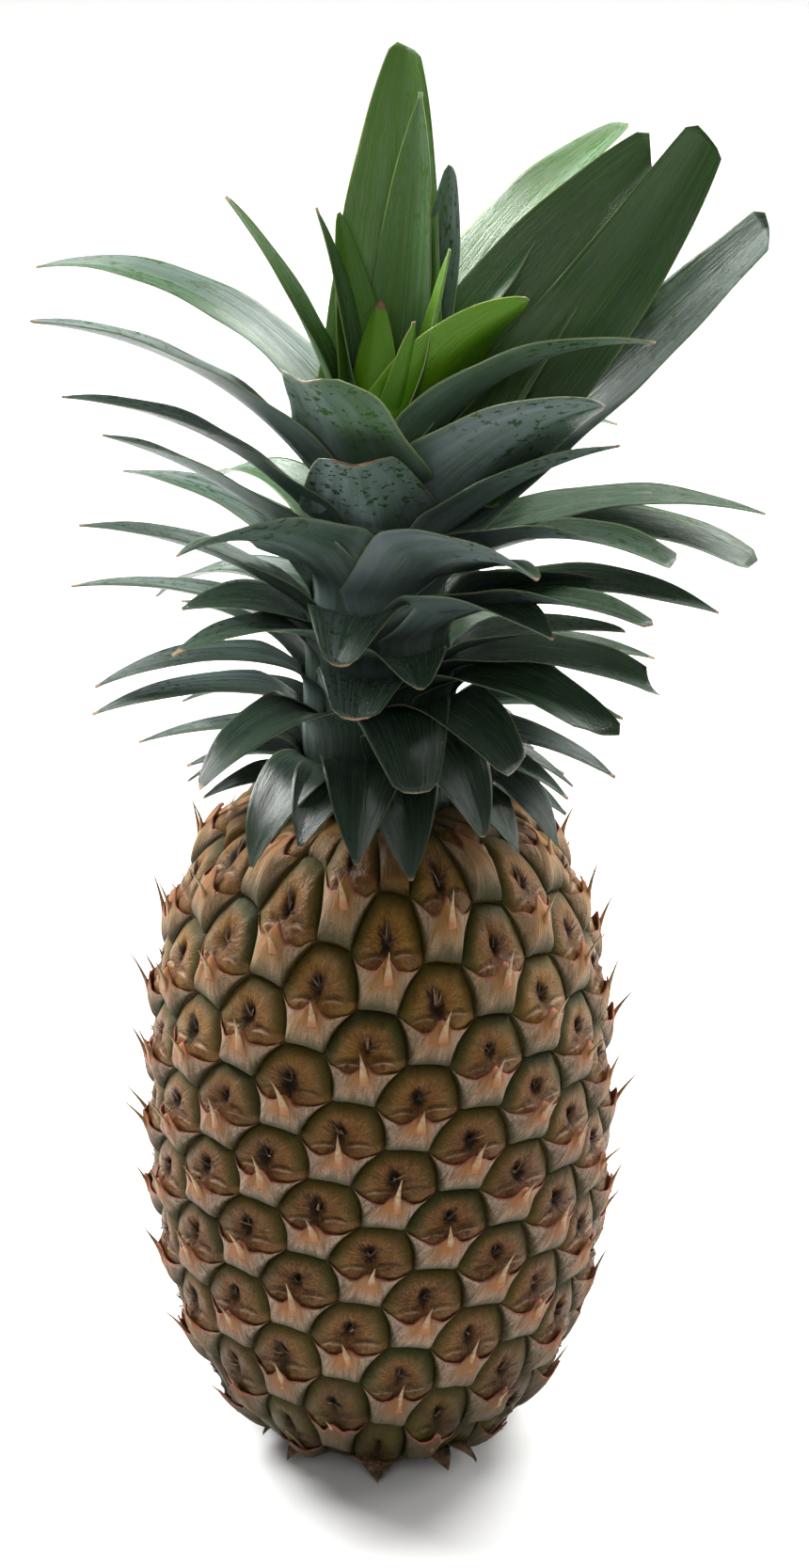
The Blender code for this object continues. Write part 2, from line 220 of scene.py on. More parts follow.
# The rind: the fruit's outside is about 150 flowers grown together, each now a six-sided eye with a
# plump brown plate that is creased round a pit, painted dark as shade. Their rows wind round the
# barrel by nearly the golden angle, and deep grooves run between them, their dark green deepened
# with painted shade.
FRUIT_HEIGHT, FRUIT_RADIUS = 0.1925, 0.0605
WIDEST_AT = 0.098
BELOW_REACH, BELOW_POWER = 0.1015, 2.35
ABOVE_REACH, ABOVE_POWER = 0.1005, 2.65
EYE_TURN = 137.43
FIRST_EYE_ANGLE, FIRST_EYE_HEIGHT = 3.9, 0.1027
EYE_RISE, END_STRETCH, STRETCH_EYES = 0.00107, 0.0036, 50.0
ROW_LEAN = 0.053
FOOT_HOLE, TOP_HOLE, HOLE_SLACK = 0.0131, 0.0185, 1e-6
FIRST_EYE, LAST_EYE = -95, 92
FOOT_FADE = 0.008
SIDE_STEPS, RINGS = 8, 12
PIT = (0.3, 3.3)
PLATE_STAND, PLATE_TILT, PLATE_SPREAD = 3.1, 0.10, 0.35
BULGES = (0.5, 1.3, 1.3)
EYE_CORNERS = [(-13, 8), (8, 21), (21, 13), (13, -8), (-8, -21), (-21, -13)]


def barrel_radius(height):
    """How far the grooves lie from the axis; past either end the rind folds in level."""
    inside = np.clip(height, 0.0, FRUIT_HEIGHT)
    below = np.clip((WIDEST_AT - inside) / BELOW_REACH, 0.0, 1.0)
    above = np.clip((inside - WIDEST_AT) / ABOVE_REACH, 0.0, 1.0)
    low = (1.0 - below ** BELOW_POWER) ** (1.0 / BELOW_POWER)
    high = (1.0 - above ** ABOVE_POWER) ** (1.0 / ABOVE_POWER)
    return FRUIT_RADIUS * np.where(inside < WIDEST_AT, low, high) - np.abs(height - inside)


def eye_height(index, angle):
    """The height of an eye's middle, for its own angle."""
    ends = index / STRETCH_EYES
    lean = ROW_LEAN * FRUIT_RADIUS * math.sin(math.radians(angle))
    return FIRST_EYE_HEIGHT + EYE_RISE * index + END_STRETCH * ends ** 3 + lean


def eye_frame(index):
    """Angle, height and upward stretch of an eye."""
    angle = FIRST_EYE_ANGLE + EYE_TURN * index
    stretch = 1.0 + 3.0 * END_STRETCH * (index / STRETCH_EYES) ** 2 / (STRETCH_EYES * EYE_RISE)
    return angle, eye_height(index, angle), stretch


def rind_places(index, right, up, stand, out=0.0, lift=0.0):
    """Places for points of one eye, given in mm to the right, up and out of the groove."""
    angle, height, stretch = eye_frame(index)
    turn = math.radians(angle) + right * MM / FRUIT_RADIUS
    at = height + (up + right * ROW_LEAN) * MM * stretch
    step = 0.0005
    slope = (barrel_radius(at + step) - barrel_radius(at - step)) / (2.0 * step)
    slope = np.clip(slope, -3.0, 3.0)
    size = np.hypot(1.0, slope)
    room = np.clip(np.minimum(at, FRUIT_HEIGHT - at) / FOOT_FADE, 0.0, 1.0)
    grown = stand * MM * room
    reach = barrel_radius(at) + grown / size + out
    reach = np.where(at > FRUIT_HEIGHT, np.maximum(reach, TOP_HOLE), np.maximum(reach, FOOT_HOLE))
    level = np.clip(at - grown * slope / size + lift, 0.0, FRUIT_HEIGHT + 0.004)
    level = np.where(at < 0.0, 0.0, level)
    level = np.where(at > FRUIT_HEIGHT, FRUIT_HEIGHT, level)
    return np.stack([np.sin(turn) * reach, -np.cos(turn) * reach, level], axis=-1)


def turn_between(steps):
    """The angle, within half a turn, from an eye to the one so many steps on."""
    return (EYE_TURN * steps + 180.0) % 360.0 - 180.0


def eye_corner(index, first, second):
    """The corner that an eye shares with two neighbours, in its own mm."""
    angle, height, stretch = eye_frame(index)
    turns = [turn_between(first), turn_between(second)]
    heights = [eye_height(index + n, angle + turn) for n, turn in zip((first, second), turns)]
    right = math.radians(sum(turns) / 3.0) * FRUIT_RADIUS / MM
    up = (sum(heights) - 2.0 * height) / 3.0 / MM / stretch - right * ROW_LEAN
    return np.array([right, up])


def eye_border(index):
    """The six sides of an eye as points in its mm, from its right corner upward and round."""
    corners = [eye_corner(index, *pair) for pair in EYE_CORNERS]
    swell = [BULGES[1], BULGES[0], BULGES[2], -BULGES[1], -BULGES[0], -BULGES[2]]
    points = []
    for i, corner in enumerate(corners):
        after = corners[(i + 1) % 6]
        along = after - corner
        outside = np.array([along[1], -along[0]]) / np.hypot(*along)
        for part in np.arange(SIDE_STEPS) / SIDE_STEPS:
            points.append(corner + along * part + outside * swell[i] * math.sin(math.pi * part))
    return np.array(points)


def plate_dome(reach):
    """The rounded rise of a plate, from 0 on the eye's border to 1 at its pit."""
    return (1.0 - np.clip(reach, 0.0, 1.0) ** 5) ** 0.62


def plate_stand(right, up, reach, chance):
    """How far the rind stands out of its grooves, in mm, over one eye."""
    x, y = right - PIT[0], up - PIT[1]
    away = np.hypot(x, y)
    bearing = np.degrees(np.arctan2(y, x))
    dome = plate_dome(reach)
    stand = (PLATE_STAND - PLATE_TILT * y + PLATE_SPREAD * chance[0]) * dome
    stand -= 0.75 * np.exp(-(away / 3.4) ** 2)
    trough = np.hypot((x - 0.5 * (chance[1] - 0.5)) / 1.05, (y - 0.9) / (1.7 + chance[2]))
    stand -= (1.5 + 0.6 * chance[1]) * np.exp(-trough ** 2)
    wide = np.abs(x + 0.5 * (chance[3] - 0.5))
    fold = y + 2.7 + 0.6 * (chance[2] - 0.5) + 0.055 * (wide - 4.4) ** 2
    span = np.clip((wide - 1.0) / 1.6, 0.0, 1.0) * np.clip((8.6 - wide) / 2.4, 0.0, 1.0)
    stand += 0.60 * np.exp(-(fold / 0.50) ** 2) * span
    stand -= (0.55 + 0.5 * chance[1]) * np.exp(-((fold - 1.0) / 0.60) ** 2) * span
    stand += 0.45 * np.exp(-((fold + 1.7) / 0.95) ** 2) * span
    stand -= 0.35 * np.exp(-((fold + 0.75) / 0.40) ** 2) * span
    for k, at in enumerate((62.0, 108.0, 140.0)):
        across_fold = (bearing - at - 24.0 * (chance[k] - 0.5) + 180.0) % 360.0 - 180.0
        offset = away * np.radians(across_fold)
        fade = np.sin(np.pi * np.clip(away / 7.5, 0.0, 1.0))
        stand -= 0.45 * chance[k + 1] * np.exp(-(offset / 0.6) ** 2) * fade
    unevenness = 0.20 * np.sin(right * 0.8 + chance[0] * 9.0) * np.cos(up * 0.7 + chance[1] * 5.0)
    return stand + unevenness * dome


def eye_reach(border, spots):
    """How far points lie from the pit to the border of their eye, as a part of the way."""
    outline = border - np.array(PIT)
    bearings = np.arctan2(outline[:, 1], outline[:, 0])
    order = np.argsort(bearings)
    inside = spots - np.array(PIT)
    toward = np.arctan2(inside[:, 1], inside[:, 0])
    far = np.interp(toward, bearings[order], np.hypot(*outline[order].T), period=math.tau)
    return np.hypot(inside[:, 0], inside[:, 1]) / far


def eyes_between(low, high):
    """The eyes whose middles lie between two heights."""
    return [index for index in range(FIRST_EYE, LAST_EYE + 1) if low < eye_frame(index)[1] < high]


def build_piece(name, places, faces, attributes=None, uvs=None):
    """A mesh object, with numbers on its points and flat places on the corners of its faces."""
    mesh = bpy.data.meshes.new(name)
    mesh.from_pydata([tuple(p) for p in places], [], faces)
    for key, values in (attributes or {}).items():
        values = np.asarray(values, np.float32)
        kind, field = ("FLOAT", "value") if values.ndim == 1 else ("FLOAT_COLOR", "color")
        mesh.attributes.new(key, kind, "POINT").data.foreach_set(field, values.ravel())
    if uvs is not None:
        layer = mesh.uv_layers.new(name="flat")
        layer.uv.foreach_set("vector", np.asarray(uvs, np.float32).ravel())
    mesh.validate()
    mesh.shade_smooth()
    piece = bpy.data.objects.new(name, mesh)
    bpy.context.scene.collection.objects.link(piece)
    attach(piece, "root")
    return piece


def in_hole(spot):
    """Whether a point lies in the hole round the stalk, or under the crown's stem."""
    x, y, z = spot
    return math.hypot(x, y) < (TOP_HOLE if z > WIDEST_AT else FOOT_HOLE) + HOLE_SLACK


def grow_rind():
    """Every eye as rings of points from its pit to its border, joined to its neighbours."""
    draw = random.Random(7)
    known, places, faces, uvs = {}, [], [], []
    reaches, chances = [], []
    spokes = 6 * SIDE_STEPS
    fractions = [0.0] + [((i + 1) / RINGS) ** 0.9 for i in range(RINGS)]
    for index in range(FIRST_EYE, LAST_EYE + 1):
        chance = [draw.random() for _ in range(4)]
        border = eye_border(index)
        middle = np.array(PIT)
        rows = []
        for ring, fraction in enumerate(fractions):
            flat = middle + (border - middle) * fraction if ring else middle[None, :]
            reach = np.full(len(flat), fraction)
            stand = plate_stand(flat[:, 0], flat[:, 1], reach, chance)
            if ring == RINGS:
                stand = np.zeros(len(flat))
            spots = rind_places(index, flat[:, 0], flat[:, 1], stand)
            row = []
            for spot, local in zip(spots, flat):
                key = tuple(np.round(spot, 6)) if ring == RINGS else None
                if key is not None and key in known:
                    row.append((known[key], local))
                    continue
                places.append(spot)
                reaches.append(fraction)
                chances.append(chance[0])
                if key is not None:
                    known[key] = len(places) - 1
                row.append((len(places) - 1, local))
            rows.append(row)
        for j in range(spokes):
            k = (j + 1) % spokes
            fans = [(rows[0][0], rows[1][j], rows[1][k])]
            for near, far in zip(rows[1:], rows[2:]):
                fans.append((near[j], far[j], far[k], near[k]))
            for fan in fans:
                lost = all(in_hole(places[number]) for number, _ in fan)
                if lost or len({number for number, _ in fan}) < len(fan):
                    continue
                faces.append(tuple(number for number, _ in fan))
                uvs += [tuple(local) for _, local in fan]
    carried = {"reach": reaches, "chance": chances, "level": [p[2] for p in places]}
    return build_piece("rind", places, faces, carried, uvs)


rind = grow_rind()
rind_finish, skin = start_finish("rind_skin")
right, up = skin.flat_places()
solid = skin.solid_place()
reach = skin.attribute("reach")
chance = skin.attribute("chance")
level = skin.attribute("level")
mottle = skin.noise(solid, 230.0, 6.0, 0.68)
patches = skin.noise(solid, 55.0, 3.0)
pores = skin.noise(solid, 1700.0, 3.0, 0.7)
scurf = skin.noise(solid, 1500.0, 4.0, 0.75)
x, y = right - PIT[0], up - PIT[1]
away = (x * x + y * y) ** 0.5
bearing = skin.maths("ARCTAN2", y, x)
wrinkles = skin.noise(skin.place(bearing * 3.2, away * 0.12, chance * 40.0), 2.6, 5.0)
browns = (mottle * 0.7 + patches * 0.3).step(0.36, 0.62)
plate = browns.blend((0.075, 0.026, 0.003), (0.200, 0.078, 0.010))
ochre = level.step(0.095, 0.160) * (0.32 + patches.step(0.35, 0.7) * 0.6)
brick = away.fall(2.0, 7.5) * mottle.step(0.35, 0.6) * (0.3 + chance * 0.6)
olive = (away + (patches - 0.5) * 3.0).step(4.0, 9.5) * (1.0 - (0.0 - y).step(-0.5, 3.0) * 0.7)
blue = patches.step(0.5, 0.7) * 0.5 + level.fall(0.03, 0.12) * 0.5
blue = olive * blue * chance.step(0.15, 0.85)
ray_place = skin.place(x / (away + 0.3) * 6.0, y / (away + 0.3) * 6.0, chance * 50.0 + away * 0.3)
rays = skin.noise(ray_place, 1.5, 4.0, 0.65)
lip = (0.0 - y).step(2.0, 3.2)
wide = abs(x)
fold = y + (wide - 4.4) * (wide - 4.4) * 0.055 + (chance - 0.5) * 0.6 + 2.7
span = wide.step(1.0, 2.6) * wide.fall(6.4, 8.6)
# Painted shade in the crease above each lip's fold, and a painted highlight along the fold's ridge.
crease_shade = abs(fold - 0.75).fall(0.15, 0.75) * span
ridge_highlight = (abs(fold) + (mottle - 0.5) * 0.5).fall(0.05, 0.42) * span * patches.step(0.30, 0.55)
dimple_left = ((x + 4.9) * (x + 4.9) + (y + 3.4) * (y + 3.4)) ** 0.5
dimple_right = ((x - 4.6) * (x - 4.6) + (y + 3.9) * (y + 3.9)) ** 0.5
dimples = skin.maths("MINIMUM", dimple_left, dimple_right)
speckle = scurf.step(0.46, 0.64) * (0.16 + 0.42 * level.fall(0.05, 0.15))
speckle = speckle * mottle.step(0.3, 0.6) * (1.0 - olive * 0.3)
grime = (pores * 0.45 + mottle * 0.55).step(0.50, 0.60)
verge = (reach + (patches - 0.5) * 0.14 + (mottle - 0.5) * 0.10).step(0.52, 0.92)
verge = verge * (1.0 - lip * 0.6)
verge_tint = chance.step(0.2, 0.9).blend((0.044, 0.034, 0.001), (0.020, 0.025, 0.002))
# The grooves' dark green, deepened with painted shade where they run between the eyes.
groove = (reach + (mottle - 0.5) * 0.05).step(0.90, 1.0)
drift = x - (chance - 0.5) * 1.4 - y * (chance - 0.4) * 0.5
trough = ((drift * drift) * 0.30 + (y - 0.7) * (y - 0.7) * 0.11) ** 0.5
cracks = abs(wrinkles - 0.5).fall(0.004, 0.035) * away.fall(2.5, 7.0) * mottle.step(0.4, 0.6)
uneven = (mottle - 0.5) * 2.8 + (wrinkles - 0.5) * 2.2
# Painted shade in the hollow of each pit.
pit = (trough * (0.75 + chance * 0.9) + uneven).fall(0.45, 1.35)
# Painted shade toward the fruit's foot, darker there, with the olive green the foot has in patches.
rind_foot_shade = level.fall(0.008, 0.060)
rind_foot_shade_and_olive = patches.step(0.4, 0.6).blend((0.020, 0.011, 0.002), (0.036, 0.036, 0.002))
plate = plate.painted(
    (ochre, (0.25, 0.120, 0.012)),
    (brick, (0.140, 0.042, 0.009)),
    (olive * (0.35 + chance * 0.45), (0.060, 0.052, 0.012)),
    (blue * 0.30, (0.034, 0.044, 0.014)),
    (rays.step(0.50, 0.66) * away.step(1.5, 4.0) * 0.50, (0.235, 0.125, 0.050)),
    (rays.fall(0.34, 0.46) * away.fall(5.0, 8.5) * 0.55, (0.050, 0.020, 0.006)),
    (wrinkles.step(0.54, 0.68) * away.fall(2.5, 5.5) * 0.5, (0.030, 0.013, 0.005)),
    (lip * mottle.step(0.35, 0.65) * 0.65, (0.150, 0.052, 0.020)),
    # painted shade in the creases, then a painted highlight on the ridges of the folds
    (crease_shade * 0.55, (0.032, 0.014, 0.006)),
    (ridge_highlight * 0.65, (0.40, 0.27, 0.175)),
    (dimples.fall(0.35, 1.0) * chance.step(0.3, 0.6) * 0.8, (0.060, 0.016, 0.009)),
    (speckle, (0.29, 0.20, 0.095)),
    (grime * 0.50, (0.034, 0.016, 0.005)),
    (verge * 0.90, verge_tint),
    # painted shade in the grooves
    (groove * 0.5, (0.012, 0.011, 0.001)),
    (cracks * 0.6, (0.024, 0.010, 0.004)),
    # painted shade in the pits
    (pit * 0.92, (0.010, 0.006, 0.003)),
    # painted shade toward the foot, with olive patches
    (rind_foot_shade * 0.86, rind_foot_shade_and_olive),
)
relief = mottle * 0.80 + pores * 0.34 + (wrinkles * 0.6 + rays * 0.5) * (1.0 - verge)
bump = skin.bump(0.9, 0.0010, relief)
set_finish(rind_finish, {
    "Base Color": plate,
    "Roughness": 0.26 + mottle * 0.22 + speckle * 0.3 + pit * 0.3 + verge * 0.3,
    "Normal": bump,
    "Specular IOR Level": 0.19,
})
rind.data.materials.append(rind_finish)
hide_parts("fruit")


# The bracts: under each flower grew a leafy scale, now a papery, fuzzy triangle that covers the
# lower part of its eye. Its thin red edge lies over the plate and runs up to a spine in the middle.
BRACT_EDGE = [
    (-11.2, 1.4), (-9.3, 0.4), (-7.2, -0.7), (-4.8, -1.6), (-2.8, -1.3), (-1.4, 0.0), (0.1, 1.0),
    (1.4, -0.2), (2.8, -1.8), (4.8, -2.6), (7.4, -2.7), (9.4, -2.3), (11.2, -1.8),
]
BRACT_COLUMNS, BRACT_ROWS = 28, 9
BRACT_THICKNESS, BRACT_INSET = 0.40, 0.03
BRACT_MARGIN = 0.001


def along_line(line, count):
    """Evenly spaced points along a line of points."""
    line = np.asarray(line, float)
    steps = np.hypot(*np.diff(line, axis=0).T)
    lengths = np.concatenate([[0.0], np.cumsum(steps)])
    at = np.linspace(0.0, lengths[-1], count)
    return np.stack([np.interp(at, lengths, column) for column in line.T], axis=1)


def sheet_faces(first, rows, columns):
    """The faces of a thin closed sheet: its upper side, its lower side and its rim.

    Its points are numbered from first on, row by row, the upper ones before the lower ones. Each
    corner of a face is the number of its point, then the row and the column.
    """
    width = columns + 1
    count = (rows + 1) * width
    faces = []
    for side in (0, 1):
        for row in range(rows):
            for column in range(columns):
                ring = [(row, column), (row, column + 1), (row + 1, column + 1), (row + 1, column)]
                ring = ring[::-1] if side else ring
                faces.append([(first + side * count + r * width + c, r, c) for r, c in ring])
    rim = [(r, 0) for r in range(rows + 1)] + [(rows, c) for c in range(1, width)]
    rim += [(r, columns) for r in reversed(range(rows))]
    rim += [(0, c) for c in reversed(range(1, columns))]
    for start, end in zip(rim, rim[1:] + rim[:1]):
        a, b = (first + r * width + c for r, c in (start, end))
        faces.append([(a, *start), (b, *end), (b + count, *end), (a + count, *start)])
    return faces


def grow_bracts():
    """One papery sheet over the lower part of every eye that isn't folded in at an end."""
    draw = random.Random(11)
    places, faces, uvs, edges, chances = [], [], [], [], []
    for index in eyes_between(BRACT_MARGIN, FRUIT_HEIGHT - BRACT_MARGIN):
        chance = draw.random()
        border = eye_border(index)
        lower = np.concatenate([border[3 * SIDE_STEPS:], border[:1]])
        lower = along_line(lower, BRACT_COLUMNS + 1)
        upper = np.array(BRACT_EDGE)
        wave = np.array([draw.uniform(-0.35, 0.35) for _ in upper])
        upper = upper + np.stack([wave * 0.5, wave], axis=1)
        for end in (0, -1):
            upper[end] = lower[end] * (1.0 - BRACT_INSET) + np.array(PIT) * BRACT_INSET
        upper = along_line(upper, BRACT_COLUMNS + 1)
        ripple = [draw.uniform(0.0, 6.3) for _ in range(3)]
        first = len(places)
        across = np.linspace(-1.0, 1.0, BRACT_COLUMNS + 1)
        for side in (1.0, 0.0):
            for row in range(BRACT_ROWS + 1):
                part = row / BRACT_ROWS
                inset = lower + (np.array(PIT) - lower) * BRACT_INSET
                spot = inset + (upper - inset) * part
                swell = np.sin(np.pi * 0.5 * np.minimum(part * 1.35, 1.0)) ** 0.9
                narrow = 1.0 - np.abs(across) ** 5
                full = PLATE_STAND + PLATE_SPREAD - PLATE_TILT * (spot[:, 1] - PIT[1])
                stand = 0.28 + full * plate_dome(eye_reach(border, spot))
                stand = stand + (0.15 + 0.45 * part) * narrow
                keel = np.maximum(1.0 - np.abs(across) / 0.55, 0.0)
                stand = stand + (0.3 + 0.95 * part) * keel * swell
                flutter = np.sin(across * 6.0 + ripple[0]) * 0.28
                flutter = flutter + np.sin(across * 13.0 + ripple[1]) * 0.16
                stand = stand + flutter * part ** 2 * narrow
                lengthwise = np.sin(across * 17.0 + ripple[2]) * 0.13 * swell
                stand = stand + lengthwise - (0.0 if side else BRACT_THICKNESS)
                spots = rind_places(index, spot[:, 0], spot[:, 1], stand)
                places += list(spots)
                edges += [part] * (BRACT_COLUMNS + 1)
                chances += [chance] * (BRACT_COLUMNS + 1)
        for face in sheet_faces(first, BRACT_ROWS, BRACT_COLUMNS):
            faces.append(tuple(number for number, _, _ in face))
            uvs += [(c / BRACT_COLUMNS * 2.0 - 1.0, r / BRACT_ROWS) for _, r, c in face]
    carried = {"edge": edges, "chance": chances, "level": [p[2] for p in places]}
    return build_piece("bracts", places, faces, carried, uvs)


bracts = grow_bracts()
bract_finish, scale = start_finish("bract_paper")
across, edge = scale.flat_places()
solid = scale.solid_place()
chance = scale.attribute("chance")
level = scale.attribute("level")
fibre_place = scale.place(across * 6.0, edge * 0.7, chance * 50.0)
fibres = scale.noise(fibre_place, 3.0, 4.0)
streaks = scale.noise(fibre_place, 1.6, 5.0, 0.7)
fuzz = scale.noise(solid, 2100.0, 3.0, 0.65)
clouds = scale.noise(solid, 120.0, 3.0)
paper_colour = fibres.step(0.3, 0.7).blend((0.100, 0.054, 0.023), (0.26, 0.158, 0.088))
side_part = abs(across).step(0.12, 0.55)
grey_part = 1.0 - edge.step(0.40, 0.95) * (1.0 - side_part * 0.8)
grey_part = grey_part * (fuzz * 0.75 + fibres * 0.25).step(0.40, 0.58)
specks = (streaks * 0.40 + fuzz * 0.60).step(0.50, 0.56) * edge.fall(0.50, 0.95)
middle_part = (abs(across) + (clouds - 0.5) * 0.30 + (fibres - 0.5) * 0.2).fall(0.06, 0.50)
flush = middle_part * edge.step(0.20, 0.75) * (0.5 + clouds.step(0.3, 0.6) * 0.5)
golden = level.step(0.115, 0.175) * (0.15 + clouds * 0.75)
# Painted shade on the bracts toward the fruit's foot.
bract_foot_shade = level.fall(0.008, 0.056) * 0.85
red_edge = (edge + (fibres - 0.5) * 0.10).step(0.90, 0.97)
red_tint = chance.blend((0.42, 0.11, 0.075), (0.17, 0.035, 0.014))
foot_green = (edge + (clouds - 0.5) * 0.26 + (fuzz - 0.5) * 0.30).fall(0.02, 0.44)
corner_green = (abs(across) + (clouds - 0.5) * 0.16).step(0.78, 1.0)
paper_colour = paper_colour.painted(
    (clouds.step(0.35, 0.7) * 0.4, (0.25, 0.125, 0.046)),
    (grey_part * (0.50 + clouds * 0.5), (0.42, 0.34, 0.265)),
    (specks * 0.75, (0.045, 0.030, 0.014)),
    (flush * 0.90, (0.31, 0.105, 0.012)),
    (flush * fibres.step(0.5, 0.75) * 0.5, (0.135, 0.034, 0.008)),
    (golden * 0.7, (0.26, 0.140, 0.020)),
    # painted shade toward the foot
    (bract_foot_shade, (0.042, 0.032, 0.005)),
    (red_edge * 0.8, red_tint),
    (foot_green * 0.9, (0.030, 0.030, 0.003)),
    (corner_green * 0.7, (0.046, 0.042, 0.005)),
)
relief = fibres * 1.0 + fuzz * 0.35 + streaks * 0.4
bump = scale.bump(0.9, 0.0009, relief)
set_finish(bract_finish, {"Base Color": paper_colour, "Roughness": 0.78, "Normal": bump})
bracts.data.materials.append(bract_finish)
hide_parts("fruit")


# The spines: the stiff, hooked points of the bracts. Each is horny tissue grown out of the middle
# of its bract, pale along its length and darker where it has dried.
SPINES_FROM, SPINES_TO = 0.006, 0.186
SPINE_SIDES, SPINE_RINGS = 8, 9


def tube_wall(first, sides, rings):
    """The wall of a tube whose rings of points are numbered from first on."""
    faces = []
    for ring in range(rings):
        for j in range(sides):
            k = (j + 1) % sides
            a = first + ring * sides
            faces.append((a + j, a + k, a + k + sides, a + j + sides))
    return faces


def grow_spines():
    """One curved horn on the middle of nearly every bract."""
    draw = random.Random(19)
    places, faces, lengths, chances = [], [], [], []
    for index in eyes_between(SPINES_FROM, SPINES_TO):
        chance = draw.random()
        out, lift = 5.1 + draw.uniform(-2.2, 1.9), 8.3 + draw.uniform(-2.2, 2.2)
        lean = draw.uniform(-1.5, 1.5)
        first = len(places)
        for ring in range(SPINE_RINGS + 1):
            part = ring / SPINE_RINGS
            half = 1.75 * (1.0 - part) ** 1.35 + 0.10
            thick = 0.85 * (1.0 - part) + 0.08
            root_up = -4.6 + 2.6 * part
            for j in range(SPINE_SIDES):
                turn = math.tau * j / SPINE_SIDES
                right = np.array([0.1 + lean * part ** 1.5 + half * math.cos(turn)])
                stand = np.array([4.8 + 0.6 * part + thick * math.sin(turn)])
                spot = rind_places(
                    index, right, np.array([root_up]), stand,
                    out * MM * part ** 1.6, (lift - 2.6) * MM * part ** 1.25 + 2.0 * MM * part,
                )[0]
                places.append(spot)
                lengths.append(part)
                chances.append(chance)
        faces += tube_wall(first, SPINE_SIDES, SPINE_RINGS)
        faces.append(tuple(first + j for j in range(SPINE_SIDES))[::-1])
        faces.append(tuple(len(places) - SPINE_SIDES + j for j in range(SPINE_SIDES)))
    return build_piece("spines", places, faces, {"along": lengths, "chance": chances})


spines = grow_spines()
spine_finish, horn = start_finish("spine_horn")
along = horn.attribute("along")
chance = horn.attribute("chance")
solid = horn.solid_place()
grain = horn.noise(solid, 700.0, 3.0)
horn_colour = grain.step(0.3, 0.7).blend((0.24, 0.13, 0.050), (0.38, 0.27, 0.14))
horn_colour = (along.fall(0.05, 0.50) * 0.9).blend(horn_colour, (0.29, 0.098, 0.020))
dark_tip = along.step(0.55, 1.0) * chance.step(0.35, 0.8)
horn_colour = (dark_tip * 0.8).blend(horn_colour, (0.10, 0.04, 0.025))
bump = horn.bump(0.4, 0.0004, grain)
set_finish(spine_finish, {"Base Color": horn_colour, "Roughness": 0.55, "Normal": bump})
spines.data.materials.append(spine_finish)
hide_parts("fruit")


# The dried scales: dark brown remains of the lowest bracts, withered to stiff sheets. Each still
# hangs by its root on the foot of the fruit and curls away from it. Each row: angle round the
# fruit, then the root's height, the length, the width and the droop in mm.
SCALES = [
    (-1, 5.0, 11.0, 24.0, 7.5), (26, 6.5, 14.0, 13.0, 3.0), (35, 8.0, 13.5, 8.0, 4.0),
    (-38, 6.0, 11.0, 13.0, 4.5), (-64, 5.0, 7.5, 5.0, 4.0), (72, 4.6, 8.0, 5.0, 4.5),
    (108, 4.0, 7.5, 5.5, 4.0), (146, 4.2, 8.5, 5.0, 4.5), (-100, 4.4, 8.0, 5.0, 4.0),
    (-138, 4.2, 7.5, 5.5, 4.5), (178, 4.0, 8.0, 5.0, 4.0),
]
SCALE_ROWS, SCALE_COLUMNS = 10, 6
draw = random.Random(29)
scale_places, scale_faces, scale_lengths = [], [], []
for angle, height, length, width, droop in SCALES:
    turn = math.radians(angle)
    outward = np.array([math.sin(turn), -math.cos(turn), 0.0])
    sideways = np.array([math.cos(turn), math.sin(turn), 0.0])
    root = barrel_radius(np.array([height * MM]))[0] + 0.0002
    bend = draw.uniform(-1.2, 1.2)
    first = len(scale_places)
    for side in (1.0, -1.0):
        for row in range(SCALE_ROWS + 1):
            part = row / SCALE_ROWS
            ragged = 1.0 + 0.12 * math.sin(9.0 * part + angle)
            half = width / 2.0 * (1.0 - part) ** 0.9 * ragged + 0.15
            for column in range(SCALE_COLUMNS + 1):
                x = column / SCALE_COLUMNS * 2.0 - 1.0
                away = length * part * 0.90 - 0.9 * x * x * (1.0 - part) + 0.4
                rise = 1.2 * math.sin(part * 3.0) - droop * part ** 2 * 0.55 + 0.5 * x * x * part
                rise += side * (0.30 - 0.12 * part) + 0.25 * math.sin(7.0 * part + 3.0 * x + angle)
                spot = outward * (root + away * MM) + sideways * (x * half + bend * part ** 2) * MM
                spot[2] = max((height + rise) * MM, 0.0003 + 0.0002 * side)
                scale_places.append(spot)
                scale_lengths.append(part)
    for face in sheet_faces(first, SCALE_ROWS, SCALE_COLUMNS):
        scale_faces.append(tuple(number for number, _, _ in face))
scales = build_piece("dried_scales", scale_places, scale_faces, {"along": scale_lengths})
scale_finish, dry_scale = start_finish("dried_scale")
along = dry_scale.attribute("along")
grain = dry_scale.noise(dry_scale.solid_place(), 500.0, 4.0)
scale_colour = grain.step(0.35, 0.65).blend((0.032, 0.017, 0.008), (0.150, 0.080, 0.032))
scale_colour = (along.fall(0.0, 0.5) * 0.6).blend(scale_colour, (0.070, 0.064, 0.012))
bump = dry_scale.bump(0.8, 0.0008, grain)
set_finish(scale_finish, {"Base Color": scale_colour, "Roughness": 0.75, "Normal": bump})
scales.data.materials.append(scale_finish)
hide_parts("fruit")


# The wisps: dried ends of the flower's parts. They are thin, brittle threads, a few in nearly every
# pit, still rooted there and sticking out of it.
WISPS_FROM, WISPS_TO = 0.010, FRUIT_HEIGHT - 0.008
WISP_SIDES, WISP_RINGS = 5, 5


